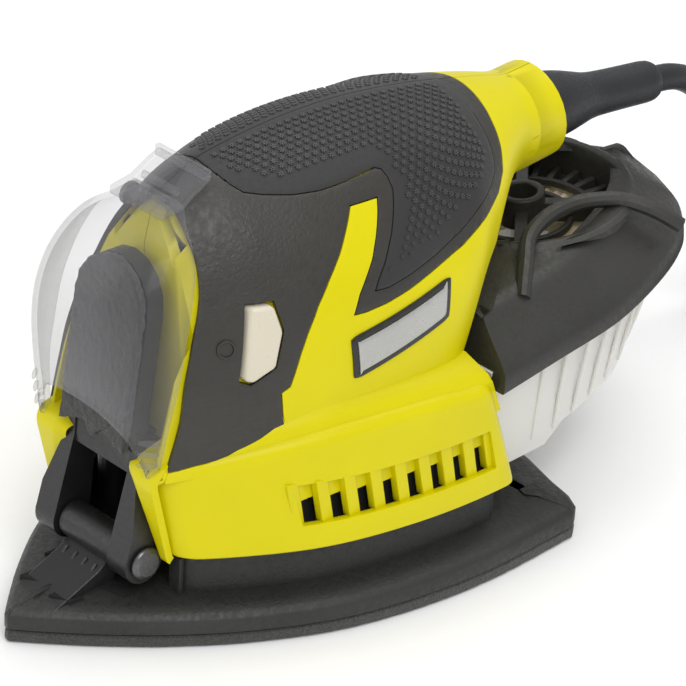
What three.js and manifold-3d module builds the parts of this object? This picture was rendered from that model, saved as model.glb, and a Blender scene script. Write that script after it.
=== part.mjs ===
// Detail sander with a fold-down finger, a clear front cover and a dust box.
// Millimetres, +Z up, nose towards -Y, origin on the floor under the middle of the tool.
import * as THREE from 'three';
import { mergeVertices } from 'three/addons/utils/BufferGeometryUtils.js';
import Module from 'manifold-3d';

const wasm = await Module();
wasm.setup();

// Overall sizes
const noseY = -105; // tip of the base plate
const plateRearY = 46; // rear edge of the base plate
const plateHalfWidth = 51.6; // widest half width of the base plate
const boxRearY = 105; // rear of the dust box lid
const bodyHeight = 113.4; // highest point of the grip
const bodyHalfWidth = 37.5; // widest half width of the upper housing

// Walls and clearances
const wall = 2.6; // housing wall
const skin = 1.2; // depth that the dark shell and the grip are let in
const gap = 0.3; // between pieces that touch
const orbitRadius = 1; // the plate circles by this much
const runGap = 2; // around pieces that move with the plate
const seamGap = 0.15; // half the gap between the housing halves

// Base plate
const hookThickness = 3;
const plateEdge = 4.5; // upright side of the plate
const plateTopZ = 13; // flat middle of the plate
const pocketSize = 7; // window in each side of the nose

// Skirt and vents
const skirtBottomZ = 20.9;
const skirtInset = 5; // skirt stands in from the plate by this much
const skirtFrontY = -78;
const skirtRearY = 17.4;
const ventCount = 7;
const ventPitch = 7.3;
const ventFirstY = -42;
const ventWidth = 3.2;
const ventBottomZ = 28;
const ventHeight = 10;

// Finger, folded up at the front
const pivotY = -77.5;
const pivotZ = 19.5;
const pinRadius = 2.5;
const pinHeadRadius = 4.2;
const pinHeadThickness = 1.6;
const armInnerX = 10;
const armOuterX = 17;
const armRadius = 5.6;
const fingerHalfWidth = 12;
const fingerBottomZ = 44;
const fingerTopZ = 92;
const fingerThickness = 5;
const hookPadThickness = 2;

// Clear cover
const coverWall = 1.4;
const tabHalfWidth = 9.4;
const tabThickness = 2;

// Motor, on an upright axis
const motorY = -22;
const shaftRadius = 3;
const shaftTopZ = 100;
const fieldRadius = 23;
const armatureRadius = 14;
const airGap = 0.6;
const fanRadius = 27;

// Switch bar, pushed through from side to side
const switchY = -55.5;
const switchZ = 76;
const switchLength = 9; // along Y
const switchHeight = 20; // along Z
const switchReach = 30; // from the middle to its end
const switchTravel = 3;

// Dust box
const lidTilt = THREE.MathUtils.degToRad(6);
const lidFrontY = 9.5;
const lidHalfWidth = 46;
const lidLipZ = 47.2; // lower edge of the lid at its front
const lidLip = 5; // upright edge of the lid
const filterY = 58.5;
const filterZ = 69; // top of the ring around the filter
const filterRadius = 26;
const hubRadius = 6;
const hubBore = 4;
const pleatCount = 24;
const binWall = 1.6;
const binBottomZ = 20;
const binInset = 4.6; // the bin stands in from the lid by this much

// Cord and sleeve
const collarRadius = 12.7;
const collarZ = 91.5;
const collarEndY = 60;
const bootRadius = 8.6;
const bootSleeveRadius = 5.7;
const bootEndY = 103.5;
const bootZ = 92.5;
const bootDroop = 5; // degrees
const bootPivotY = 52;
const cordRadius = 3.5;
const cordSides = 10;
const coilRadius = 38; // middle of the turns
const coilLayers = 3; // turns beside each other, and on each other
const turnPitch = 7.3;
const coilX = 25;
const coilY = 192;
const plugLength = 38;
const plugWidth = 36;
const plugThickness = 17;
const reliefLength = 20;
const plugPinRadius = 2.4;
const plugPinLength = 19;
const plugPinSpacing = 19;

// ---- Small tools ----

function solid(geometry) {
  const bare = geometry.clone();
  bare.deleteAttribute('normal');
  bare.deleteAttribute('uv');
  const merged = mergeVertices(bare, 1e-4);
  return new wasm.Manifold(new wasm.Mesh({
    numProp: 3,
    vertProperties: Float32Array.from(merged.attributes.position.array),
    triVerts: Uint32Array.from(merged.index.array),
  }));
}

function geometryOf(body) {
  const mesh = body.getMesh();
  const geometry = new THREE.BufferGeometry();
  geometry.setAttribute('position', new THREE.BufferAttribute(mesh.vertProperties, 3));
  geometry.setIndex(new THREE.BufferAttribute(mesh.triVerts, 1));
  return geometry;
}

const part = new THREE.Group();

function add(name, body, material) {
  const mesh = new THREE.Mesh(geometryOf(body), material.clone());
  mesh.name = name;
  part.add(mesh);
}

function finish(color, roughness, metalness = 0) {
  return new THREE.MeshStandardMaterial({ color, roughness, metalness });
}

function shapeOf(points) {
  return new THREE.Shape(points.map(([x, y]) => new THREE.Vector2(x, y)));
}

function orient(points) {
  const area = points.reduce((sum, [x, y], i) => {
    const [x1, y1] = points[(i + 1) % points.length];
    return sum + x * y1 - x1 * y;
  }, 0);
  return area < 0 ? [...points].reverse() : points;
}

// The same outline with each side moved inwards
function shrink(points, amount) {
  const loop = orient(points);
  return loop.map(([x, y], i) => {
    const [px, py] = loop[(i + loop.length - 1) % loop.length];
    const [nx, ny] = loop[(i + 1) % loop.length];
    const before = new THREE.Vector2(x - px, y - py).normalize();
    const after = new THREE.Vector2(nx - x, ny - y).normalize();
    const normal = new THREE.Vector2(-before.y - after.y, before.x + after.x).normalize();
    const reach = amount / Math.max(normal.dot(new THREE.Vector2(-before.y, before.x)), 0.4);
    return [x + normal.x * reach, y + normal.y * reach];
  });
}

// A smooth function through a few (input, value) points, level past both ends
function through(points) {
  const last = points.length - 1;
  return (value) => {
    const v = THREE.MathUtils.clamp(value, points[0][0], points[last][0]);
    let i = 0;
    while (i < last - 1 && v > points[i + 1][0]) i += 1;
    const before = points[Math.max(i - 1, 0)];
    const [x0, y0] = points[i];
    const [x1, y1] = points[i + 1];
    const after = points[Math.min(i + 2, last)];
    const span = x1 - x0;
    const slope0 = (y1 - before[1]) / (x1 - before[0]);
    const slope1 = (after[1] - y0) / (after[0] - x0);
    const t = (v - x0) / span;
    const t2 = t * t;
    const t3 = t2 * t;
    return (2 * t3 - 3 * t2 + 1) * y0 + (t3 - 2 * t2 + t) * span * slope0
      + (3 * t2 - 2 * t3) * y1 + (t3 - t2) * span * slope1;
  };
}

// An extrusion of a unit outline whose points are then sent to their places
function warped(outline, steps, place) {
  const geometry = new THREE.ExtrudeGeometry(shapeOf(outline), { depth: 1, steps, bevelEnabled: false });
  const position = geometry.attributes.position;
  for (let i = 0; i < position.count; i += 1) {
    const [x, y, z] = place(position.getX(i), position.getY(i), position.getZ(i));
    position.setXYZ(i, x, y, z);
  }
  return solid(geometry);
}

function slabX(points, x0, x1) {
  return warped(points, 1, (y, z, t) => [x0 + (x1 - x0) * t, y, z]);
}

function slabY(points, y0, y1) {
  return warped(points, 1, (x, z, t) => [x, y1 + (y0 - y1) * t, z]);
}

function slabZ(points, z0, z1) {
  return warped(points, 1, (x, y, t) => [x, y, z0 + (z1 - z0) * t]);
}

function box(x0, x1, y0, y1, z0, z1) {
  const geometry = new THREE.BoxGeometry(x1 - x0, y1 - y0, z1 - z0);
  geometry.translate((x0 + x1) / 2, (y0 + y1) / 2, (z0 + z1) / 2);
  return solid(geometry);
}

// A turned piece about the Z axis from (radius, height) points that start and end on the axis
function turned(points, sides = 24) {
  return solid(new THREE.LatheGeometry(points.map(([r, h]) => new THREE.Vector2(r, h)), sides))
    .rotate([90, 0, 0]);
}

function rod(radius, z0, z1, sides = 24) {
  return turned([[0, z0], [radius, z0], [radius, z1], [0, z1]], sides);
}

function tube(outer, inner, z0, z1, sides = 24) {
  return rod(outer, z0, z1, sides).subtract(rod(inner, z0 - 1, z1 + 1, sides));
}

const alongX = (body) => body.rotate([0, 90, 0]);
const alongY = (body) => body.rotate([-90, 0, 0]);
const leftHalf = box(seamGap, 200, -200, 200, -50, 250);
const rightHalf = box(-200, -seamGap, -200, 200, -50, 250);

// ---- Finishes ----

const lime = finish(0xd9dc00, 0.38);
const darkShell = finish(0x33322f, 0.62);
const gripRubber = finish(0x2b2b2a, 0.85);
const blackPlastic = finish(0x17181a, 0.55);
const smoke = finish(0xb9bcc4, 0.12);
const milky = finish(0xe6e4dc, 0.35);
const cream = finish(0xd6cfbe, 0.45);
const filterPaper = finish(0xe3d3a8, 0.9);
const hookFabric = finish(0x0f1011, 1);
const rubber = finish(0x141416, 0.7);
const steel = finish(0x9a9ca0, 0.3, 1);
const copper = finish(0xb06a38, 0.4, 1);
const silver = finish(0xa9acab, 0.4);

// ---- Shared outlines ----

const plateWidth = through([
  [noseY, 0.1], [noseY + 6.4, 0.138], [noseY + 15.5, 0.304], [noseY + 28.3, 0.506], [noseY + 44.7, 0.709],
  [noseY + 64.8, 0.882], [noseY + 86.7, 0.973], [noseY + 109.6, 1], [plateRearY - 12.2, 0.961],
].map(([y, share]) => [y, share * plateHalfWidth]));

const bodyWidth = through([
  [-78, 0.56], [-66, 0.69], [-55, 0.81], [-40, 0.93], [-20, 1], [0, 0.985], [12, 0.9], [20, 0.79], [28, 0.67],
  [38, 0.49], [46, 0.37], [52, collarRadius / bodyHalfWidth],
].map(([y, share]) => [y, share * bodyHalfWidth]));

const bodyTop = through([
  [-78, -19], [-66, -11.5], [-53, -4.6], [-45, -2.6], [-31, -0.7], [-18, 0], [-4, -0.3], [14, -2.3], [31, -5.3],
  [41, -7.3], [48, -9.0], [52, -9.4],
].map(([y, drop]) => [y, bodyHeight + drop]));

const bodyBottom = through([
  [-78, 42], [-10, 44], [2, 48], [8, 58], [14, 69], [20, 75], [28, 79], [38, 80], [52, 79.3],
]);

const skirtTop = through([[skirtFrontY, 43.8], [-60, 47.5], [-45, 50], [-25, 52], [0, 52], [10, 51]]);
const skirtWidth = (y) => plateWidth(y) - skirtInset - 0.9 * THREE.MathUtils.smoothstep(-y, 40, 75);
const skirtRear = (z) => skirtRearY - (z - skirtBottomZ) * 0.32;
const skirtFront = (z) => skirtFrontY + 5.6 - (z - skirtBottomZ) * 0.25;
const lipZ = (y) => lidLipZ + (y - lidFrontY) * Math.tan(lidTilt);

const lidWidth = through([
  [lidFrontY, 1], [30, 0.965], [50, 0.93], [62, 0.87], [75, 0.775], [85, 0.675], [93, 0.555], [100, 0.37],
  [boxRearY, 0.12],
].map(([y, share]) => [y, share * lidHalfWidth]));

// ---- Outline of the clear cover ----

const coverWidth = through([
  [44, 20.6], [52, 22], [62, 23.2], [74, 23.4], [84, 22.4], [92, 20.4], [98, 17], [101.5, 12], [104, 9],
]);
const coverBack = through([
  [44, -76.6], [57, -75.6], [67, -73.6], [78, -71.4], [86, -69], [93, -66.6], [99, -64.6], [104, -61],
]);
const coverFront = through([
  [44, -83.6], [53, -84.2], [60, -85.4], [70, -87], [80, -87], [88, -85], [94, -81.2], [99, -75.5], [104, -68.5],
]);
function coverBlock(inset, z0, z1, back = 0) {
  const outline = [];
  const count = 12;
  for (let i = 0; i <= count; i += 1) {
    const angle = (Math.PI * i) / count;
    outline.push([
      Math.sign(Math.cos(angle)) * Math.abs(Math.cos(angle)) ** 0.75, -(Math.sin(angle) ** 0.8),
    ]);
  }
  return warped(orient(outline), 9, (across, forward, t) => {
    const z = z0 + (z1 - z0) * t;
    const depth = coverBack(z) + back - coverFront(z) - inset;
    return [across * (coverWidth(z) - inset), coverBack(z) + back + forward * depth, z];
  });
}

// ---- Housing ----

// Unit section of the upper housing: across is -1 to 1, height is 0 to 1
const sectionHeights = [0, 0.16, 0.34, 0.52, 0.68, 0.81, 0.91, 0.975];
const domeAcross = (h) => (1 - h ** 3.4) ** 0.62 * (0.965 + 0.035 * Math.sin(Math.PI * Math.min(h * 1.5, 1)));
const roundAcross = (h) => Math.sqrt(Math.max(1 - (2 * h - 1) ** 2, 0.04));
const section = [
  ...sectionHeights.map((h) => [1, h]), [0.12, 1], [-0.12, 1],
  ...sectionHeights.map((h) => [-1, h]).reverse(),
];

function upperHousing(inset, frontY = -76, rearY = 50, steps = 15) {
  const bottomLift = inset > 0 ? inset : 0;
  return warped(section, steps, (side, h, t) => {
    const along = rearY + (frontY - rearY) * t;
    const lean = (h - 0.1) * 14 * THREE.MathUtils.smoothstep(-along, -10, 76);
    const y = along + lean;
    const round = THREE.MathUtils.smoothstep(y, 22, 48);
    const across = domeAcross(h) * (1 - round) + roundAcross(h) * round;
    const top = bodyTop(y) - inset;
    const bottom = bodyBottom(along) + bottomLift * THREE.MathUtils.smoothstep(along, -6, 6);
    const narrow = Math.abs(side) < 1 ? Math.abs(side) : Math.max(across, 0.14);
    return [Math.sign(side) * narrow * (bodyWidth(along) - inset), y, bottom + h * (top - bottom)];
  });
}

function skirtBlock(inset, bottomZ) {
  const stations = 9;
  const outline = [];
  for (let i = 0; i <= stations; i += 1) outline.push([1, i / stations]);
  for (let i = stations; i >= 0; i -= 1) outline.push([-1, i / stations]);
  return warped(outline, 3, (side, t, level) => {
    const k = Math.round(level * 3);
    const nominalY = skirtFrontY + (skirtRearY - skirtFrontY) * t;
    const crease = skirtTop(nominalY);
    const z = [bottomZ, crease - 2 - inset, crease - inset, crease + 3.5 - inset][k];
    const front = skirtFront(z) + inset;
    const rear = skirtRear(z) - inset;
    const y = front + (rear - front) * t;
    const outer = skirtWidth(y) - (z - skirtBottomZ) * 0.05;
    const width = k < 3 ? outer - (k === 2 ? 1 : 0) : Math.min(outer - 2, bodyWidth(y) + 1.5);
    return [side * (width - inset), y, z];
  });
}

// The channel at the front in which the finger stands
function fingerChannel(grow) {
  const back = (z) => pivotY + 9.2 + (z - pivotZ) * 0.045 + grow;
  return slabX([
    [-130, 10], [back(10), 10], [back(96), 96 + grow], [-130, 96 + grow],
  ], -armOuterX - runGap - grow, armOuterX + runGap + grow);
}

const collarAxisTilt = 6; // degrees
function collar(radius, y0, y1) {
  return alongY(rod(radius, y0, y1, 28)).rotate([collarAxisTilt, 0, 0]).translate([0, 0, collarZ - 5.5]);
}

const upper = upperHousing(0);
const outside = upper.add(skirtBlock(0, skirtBottomZ)).add(collar(collarRadius, 42, collarEndY));
const cavity = upperHousing(wall, -76 + wall, 44, 9)
  .add(skirtBlock(wall, skirtBottomZ - 5))
  .subtract(fingerChannel(wall));

// Side views (Y, Z) of what the dark shell and the soft grip cover
const shellOutline = [
  [-90, 30], [-79, 44.6], [-66, 46.2], [-52, 48.6], [-49, 50.2], [-52.5, 58], [-47, 66], [-41.5, 76],
  [-34, 88], [-29, 99.5], [-19, 98], [-23, 86], [-27, 76], [-14, 79.5], [2, 82.5], [14, 85.5], [26, 92],
  [33.5, 99], [36, 108], [36, 130], [-90, 130],
];
const gripOutline = [
  [-49, 130], [-49, 107], [-43, 102.5], [-35, 101.5], [-29, 104.5], [-16, 104.5], [-11.5, 97], [-15, 84.5],
  [-6, 85.5], [8, 87], [18, 91.5], [25, 97.5], [31.5, 104], [33.5, 108.5], [33.5, 130],
];
const tabRecess = slabX([[-66, 130], [-66, 90], [-50.6, 98], [-50.6, 130]], -tabHalfWidth - 1.4, tabHalfWidth + 1.4)
  .subtract(upperHousing(3.4));
const outerLayer = upper.subtract(upperHousing(skin));
const seatLayer = (depth) => upperHousing(-2).subtract(upperHousing(depth + 2 * gap));
const shellRegion = slabX(shellOutline, -80, 80);
const gripRegion = slabX(gripOutline, -80, 80);

const switchHole = box(-80, 80, switchY - switchLength / 2 - gap, switchY + switchLength / 2 + gap,
  switchZ - switchHeight / 2 - gap, switchZ + switchHeight / 2 + gap);

const vents = [];
for (let i = 0; i < ventCount; i += 1) {
  const y = ventFirstY + i * ventPitch;
  vents.push(slabX([
    [y, ventBottomZ], [y + ventWidth, ventBottomZ], [y + ventWidth - 2.4, ventBottomZ + ventHeight],
    [y - 2.4, ventBottomZ + ventHeight],
  ], -80, 80));
}
const ventCuts = vents.reduce((all, one) => all.add(one)).subtract(box(-28, 28, -90, 60, 0, 90));

// Four small slots in the band behind the grip
const bandSlots = [];
for (let i = 0; i < 4; i += 1) {
  const y = 12 + i * 5.2;
  const z = 76 + i * 2.6;
  bandSlots.push(slabX([[y, z], [y + 2, z], [y + 1, z + 4], [y - 1, z + 4]], -80, 80));
}
const bandCuts = bandSlots.reduce((all, one) => all.add(one)).subtract(box(-14, 14, 0, 60, 60, 100));

const badgeOutline = [[-33.5, 61], [-5, 67], [-1.5, 77], [-32.5, 71.5]];
const badgeDepth = 0.9;
const badgeRegion = slabX(badgeOutline, -80, 80);
const badgeRegionInner = slabX(shrink(badgeOutline, gap), -80, 80);
const badgeLayer = upperHousing(-0.3).subtract(upperHousing(badgeDepth));

const dustPort = alongY(rod(8, 0, 40, 24)).translate([0, 0, 36]);
const bootSeat = alongY(rod(bootRadius + 1.2, 40, collarEndY + 4, 28)).translate([0, 0, bootZ]);
const shaftHole = rod(shaftRadius + 6, 0, 60).translate([0, motorY, 0]);

const screwPlaces = [[-58, 41], [-57, 97], [8, 74], [35, 84]];
const screwRadius = 1.5;
const screwHeadRadius = 3;
const screwSeatX = -14;
const screwTipX = 8;
const placed = (body, [y, z]) => alongX(body).translate([0, y, z]);
const union = (bodies) => bodies.reduce((all, one) => all.add(one));
const screwBosses = union(screwPlaces.map((place) => placed(rod(screwHeadRadius + 1.6, -60, 60, 16), place)))
  .intersect(upperHousing(1).add(skirtBlock(1, skirtBottomZ)));
const screwHoles = union(screwPlaces.map((place) => placed(
  rod(screwHeadRadius + gap, -70, screwSeatX, 16).add(rod(screwRadius + 0.2, -70, screwTipX + 1, 12)), place,
)));

const postPlaces = [[21.5, -55], [37, 5]].flatMap(([x, y]) => [[x, y], [-x, y]]);
const postRadius = 4.2;
const postTopZ = 34;
const postBosses = union(postPlaces.map(([x, y]) => rod(6, postTopZ + gap, 46, 20).translate([x, y, 0])))
  .intersect(skirtBlock(1, skirtBottomZ));

const pinReach = armOuterX + pinHeadThickness + 0.4;
const pinRoom = alongX(rod(pinHeadRadius + 2 * orbitRadius + gap, -pinReach - 2, pinReach + 2)).translate([0, pivotY, pivotZ]);
const coverRoom = coverBlock(-1, 43.2, 105, 0.5);
const housing = outside
  .subtract(cavity)
  .add(screwBosses)
  .add(postBosses)
  .subtract(screwHoles)
  .subtract(coverRoom)
  .subtract(pinRoom)
  .subtract(fingerChannel(0))
  .subtract(tabRecess)
  .subtract(seatLayer(skin).intersect(shellRegion).subtract(skirtBlock(-gap, skirtBottomZ - 5)))
  .subtract(switchHole)
  .subtract(ventCuts)
  .subtract(bandCuts)
  .subtract(seatLayer(badgeDepth).intersect(badgeRegion))
  .subtract(dustPort)
  .subtract(bootSeat)
  .subtract(shaftHole);

function largest(body) {
  return body.decompose().sort((a, b) => b.volume() - a.volume())[0];
}

add('housing_left', largest(housing.intersect(leftHalf)), lime);
add('housing_right', largest(housing.intersect(rightHalf)), lime);

const shellLayer = outerLayer
  .subtract(coverRoom)
  .subtract(screwHoles)
  .intersect(slabX(shrink(shellOutline, gap), -80, 80))
  .subtract(skirtBlock(-2 * gap, skirtBottomZ - 5))
  .subtract(gripRegion)
  .subtract(fingerChannel(0))
  .subtract(tabRecess)
  .subtract(switchHole);
const shrunkGrip = slabX(shrink(gripOutline, gap), -80, 80);
const gripLayer = upperHousing(-0.4).subtract(upperHousing(skin)).intersect(shrunkGrip)
  .subtract(tabRecess)
  .subtract(screwHoles);
for (const [side, half] of [['left', leftHalf], ['right', rightHalf]]) {
  add(`front_shell_${side}`, largest(shellLayer.intersect(half)), darkShell);
  add(`grip_${side}`, largest(gripLayer.intersect(half)), gripRubber);
  add(`badge_${side}`, largest(badgeLayer.intersect(badgeRegionInner).intersect(half)), silver);
}

// ---- Base plate, which circles under the housing ----

function plateOutline(inset, stations = 11) {
  const ys = [];
  for (let i = 0; i <= stations; i += 1) {
    const t = i / stations;
    ys.push(noseY + inset * 1.2 + (plateRearY - 12.2 - inset * 0.4 - noseY - inset * 1.2) * t ** 1.25);
  }
  const side = ys.map((y) => [Math.max(plateWidth(y) - inset, 1.2), y]);
  side.push([35.5 - inset * 0.4, plateRearY - 6 - inset], [24 - inset * 0.3, plateRearY - 2 - inset]);
  side.push([8, plateRearY - inset]);
  return [...side, ...side.map(([x, y]) => [-x, y]).reverse()];
}

const noseHeight = 9.2;
const rampWidth = 9;
function slopedPlate() {
  const lower = slabZ(plateOutline(0), hookThickness + gap, hookThickness + plateEdge);
  const edge = hookThickness + plateEdge;
  const levels = [[0, edge], [1.6, edge + 1.2], [16, noseHeight + 2]];
  const tiers = levels.slice(1).map(([inset, z], i) => {
    const under = plateOutline(levels[i][0]);
    const over = plateOutline(inset);
    const low = levels[i][1];
    return warped(under, 1, (x, y, t) => {
      if (t < 0.5) return [x, y, low];
      const k = under.findIndex(([a, b]) => Math.abs(a - x) < 1e-3 && Math.abs(b - y) < 1e-3);
      return [over[k][0], over[k][1], z];
    });
  });
  return tiers.reduce((all, tier) => all.add(tier), lower);
}

const barrelRadius = 4.6;
const innerArmGap = 0.4;
const hub = rod(17, hookThickness + plateEdge, plateTopZ, 32).translate([0, motorY, 0]);
const postSocket = 6.4;
const bosses = postPlaces
  .map(([x, y]) => rod(postSocket + 1.6, hookThickness + plateEdge, plateTopZ, 20).translate([x, y, 0]));
const ramp = slabX([
  [noseY + 9, 7], [pivotY - 3, 7], [pivotY - 1, pivotZ - 1], [pivotY - 6, 14.5],
], -rampWidth + 1.5, rampWidth - 1.5);
const barrel = alongX(rod(barrelRadius, -armInnerX + innerArmGap, armInnerX - innerArmGap, 28))
  .translate([0, pivotY, pivotZ]);
const pocketY = noseY + 13.5;
const pinHole = alongX(rod(pinRadius + 0.05, -40, 40, 18)).translate([0, pivotY, pivotZ]);
const pockets = [-1, 1].map((side) => slabZ(orient([
  [side * 2.6, pocketY - 3.5], [side * (2.6 + pocketSize * 0.8), pocketY + 2.5],
  [side * (2.6 + pocketSize * 0.8), pocketY + 8.5], [side * 2.6, pocketY + 2.5],
]), 6.2, 30)).reduce((all, one) => all.add(one));

const bearingY = motorY - orbitRadius;
const bearingOuter = 11;
const bearingInner = 5;
const bearingHeight = 7;
const bearingZ = plateTopZ - bearingHeight - 0.5;
const bearingSeat = rod(bearingOuter + 0.02, bearingZ, 40, 32).translate([0, bearingY, 0]);
const plate = slopedPlate()
  .add(hub)
  .add(ramp)
  .add(barrel)
  .add(bosses.reduce((all, one) => all.add(one)))
  .subtract(pockets)
  .subtract(pinHole)
  .subtract(bearingSeat)
  .subtract(postPlaces.map(([x, y]) => rod(postSocket, 9, 40, 20).translate([x, y, 0]))
    .reduce((all, one) => all.add(one)))
  .subtract(rod(3.2, 0, 40, 24).translate([0, bearingY, 0]));
add('base_plate', largest(plate), blackPlastic);
add('hook_layer', slabZ(plateOutline(0.2), 0, hookThickness), hookFabric);
const bearingSides = 32;
const bearingBore = (bearingInner + 0.02) / Math.cos(Math.PI / bearingSides); // clears the crank pin on its flats too
add('pad_bearing', tube(bearingOuter - 0.02, bearingBore, bearingZ + 0.05, bearingZ + bearingHeight, bearingSides)
  .translate([0, bearingY, 0]), steel);

// ---- Finger and its pin ----

const pin = alongX(turned([
  [0, -pinReach], [pinHeadRadius * 0.7, -pinReach], [pinHeadRadius, -pinReach + 0.7], [pinHeadRadius, -armOuterX - 0.3],
  [pinRadius, -armOuterX - 0.3], [pinRadius, armOuterX + 0.3], [pinHeadRadius, armOuterX + 0.3],
  [pinHeadRadius, pinReach - 0.7], [pinHeadRadius * 0.7, pinReach], [0, pinReach],
], 18)).translate([0, pivotY, pivotZ]);
add('finger_pin', pin, steel);

const leanBack = 6 / (fingerTopZ - fingerBottomZ - 2);
const hookFace = (z) => pivotY - 3 + (z - fingerBottomZ - 2) * leanBack;
const arm = slabX([
  [pivotY - 5.2, pivotZ + 2], [pivotY + 5.2, pivotZ - 1], [pivotY + 8.2, fingerBottomZ + 4], [pivotY + 1, fingerBottomZ + 8],
  [pivotY + 0.6, fingerBottomZ - 2],
], armInnerX, armOuterX);
const armEye = alongX(rod(armRadius, armInnerX, armOuterX, 28)).translate([0, pivotY, pivotZ]);
const armTaper = slabY([[-60, 0], [60, 0], [60, pivotZ + 6], [armOuterX + 0.6, pivotZ + 6],
  [fingerHalfWidth + 0.5, fingerBottomZ], [fingerHalfWidth + 0.5, 120], [-fingerHalfWidth - 0.5, 120],
  [-fingerHalfWidth - 0.5, fingerBottomZ], [-armOuterX - 0.6, pivotZ + 6], [-60, pivotZ + 6]], -120, 0);
const oneArm = arm.add(armEye).intersect(armTaper);
const arms = oneArm.add(oneArm.mirror([1, 0, 0]));
const bulletOutline = [];
for (let i = 0; i <= 8; i += 1) {
  const angle = (Math.PI * i) / 8;
  bulletOutline.push([
    fingerHalfWidth * Math.cos(angle), fingerTopZ - fingerHalfWidth + fingerHalfWidth * Math.sin(angle),
  ]);
}
bulletOutline.push([-fingerHalfWidth, fingerBottomZ + 3], [-3.5, fingerBottomZ + 6], [0, fingerBottomZ + 3]);
bulletOutline.push([3.5, fingerBottomZ + 6], [fingerHalfWidth, fingerBottomZ + 3]);
function leaned(front, back, outline) {
  return warped(orient(outline), 1, (x, z, t) => [x, hookFace(z) + back + (front - back) * t, z]);
}
const fingerSlab = leaned(hookPadThickness + gap, hookPadThickness + fingerThickness, bulletOutline);
const crossBar = slabX([
  [pivotY + 0.8, fingerBottomZ - 4], [pivotY + 7.2, fingerBottomZ - 3], [pivotY + 8, fingerBottomZ + 6],
  [pivotY + 1.5, fingerBottomZ + 6],
], -armInnerX - 1, armInnerX + 1);
const finger = fingerSlab.add(arms).add(crossBar)
  .subtract(alongX(rod(pinRadius + 0.06, -40, 40, 18)).translate([0, pivotY, pivotZ]));
add('finger', largest(finger), blackPlastic);
add('finger_hook_pad', leaned(0, hookPadThickness, bulletOutline.map(([x, z]) => [x * 0.97, z])), hookFabric);

// ---- Clear cover ----

const coverTopZ = 104;
const coverArch = slabY([
  [-19.6, 30], [19.6, 30], [18.6, 50], [15, 55], [8, 58], [0, 59], [-8, 58], [-15, 55], [-18.6, 50],
], -120, -40);
const tab = slabX([
  [-68, 102.4], [-62, 103.4], [-53.4, 108.2], [-53.4, 108.2 - tabThickness], [-61.4, 100.8], [-68, 99.6],
], -tabHalfWidth, tabHalfWidth);
const cover = coverBlock(0, 44, coverTopZ)
  .subtract(coverBlock(coverWall, 43, coverTopZ - coverWall, 2))
  .subtract(coverArch)
  .add(tab.subtract(coverBlock(coverWall, 43, coverTopZ - coverWall, 2)));
add('clear_cover', largest(cover), smoke);

// ---- Switch ----

const switchBar = box(-switchReach + switchTravel, switchReach, switchY - switchLength / 2, switchY + switchLength / 2,
  switchZ - switchHeight / 2, switchZ + switchHeight / 2);
add('switch_bar', switchBar, cream);

// ---- Motor ----

add('motor_field', tube(fieldRadius, armatureRadius + airGap, 52, 78).translate([0, motorY, 0]), steel);
add('field_winding_lower', tube(fieldRadius - 3, armatureRadius + 1.2, 46, 51.6, 24).translate([0, motorY, 0]), copper);
add('field_winding_upper', tube(fieldRadius - 3, armatureRadius + 1.2, 78.4, 84, 24).translate([0, motorY, 0]), copper);
add('armature', tube(armatureRadius, shaftRadius, 52, 78).translate([0, motorY, 0]), copper);
add('commutator', tube(7, shaftRadius, 85, 93, 24).translate([0, motorY, 0]), copper);
const shaft = rod(shaftRadius - 0.02, 20, shaftTopZ, 24).translate([0, motorY, 0]);
add('motor_shaft', shaft, steel);
const crank = rod(9, 19.6, 24, 28).translate([0, motorY, 0])
  .add(slabZ(orient([[-12, motorY], [-12, motorY + 15], [12, motorY + 15], [12, motorY]]), 19.6, 27)
    .intersect(rod(17, 0, 60, 28).translate([0, motorY, 0])))
  .add(rod(bearingInner, bearingZ, 20, 32).translate([0, bearingY, 0]))
  .subtract(rod(shaftRadius, 19.9, 60, 24).translate([0, motorY, 0]));
add('counterweight', largest(crank), steel);
const fanHub = tube(8, shaftRadius, 28, 40).add(tube(fanRadius, shaftRadius, 38, 40));
const blades = [];
const bladeCount = 8;
for (let i = 0; i < bladeCount; i += 1) {
  blades.push(box(7, fanRadius - 1, -0.8, 0.8, 29, 38.5).rotate([0, 0, (i * 360) / bladeCount]));
}
add('fan', blades.reduce((all, blade) => all.add(blade), fanHub).translate([0, motorY, 0]), blackPlastic);
add('upper_bearing', tube(7, shaftRadius + 0.02, 95, 99, 24).translate([0, motorY, 0]), steel);
add('lower_bearing', tube(9.5, shaftRadius + 0.02, 41, 45.6).translate([0, motorY, 0]), steel);
for (const [name, side] of [['front', -1], ['rear', 1]]) {
  const near = motorY + side * 7.3;
  const far = motorY + side * 17;
  add(`carbon_brush_${name}`, box(-3, 3, Math.min(near, far), Math.max(near, far), 86.5, 91.5), blackPlastic);
}

const bridge = (outer, inner, z0, z1) => tube(outer, inner, z0, z1).translate([0, motorY, 0]);
add('upper_bearing_bridge', bridge(16, 7.05, 94, 99.6), blackPlastic);
add('lower_bearing_bridge', bridge(27, 9.55, 41, 45.5), blackPlastic);
for (const [name, side] of [['front', -1], ['rear', 1]]) {
  const near = motorY + side * 8;
  const far = motorY + side * 18.5;
  const sleeve = box(-4.6, 4.6, Math.min(near, far), Math.max(near, far), 85.1, 93.2)
    .subtract(box(-3.1, 3.1, Math.min(near - 1, far + side * -1), Math.max(near + 1, far - side), 86.4, 91.6));
  add(`brush_holder_${name}`, sleeve, finish(0xb08d4a, 0.4, 1));
}

// ---- Switch body, capacitor, clamp and inner lead ----

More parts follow.
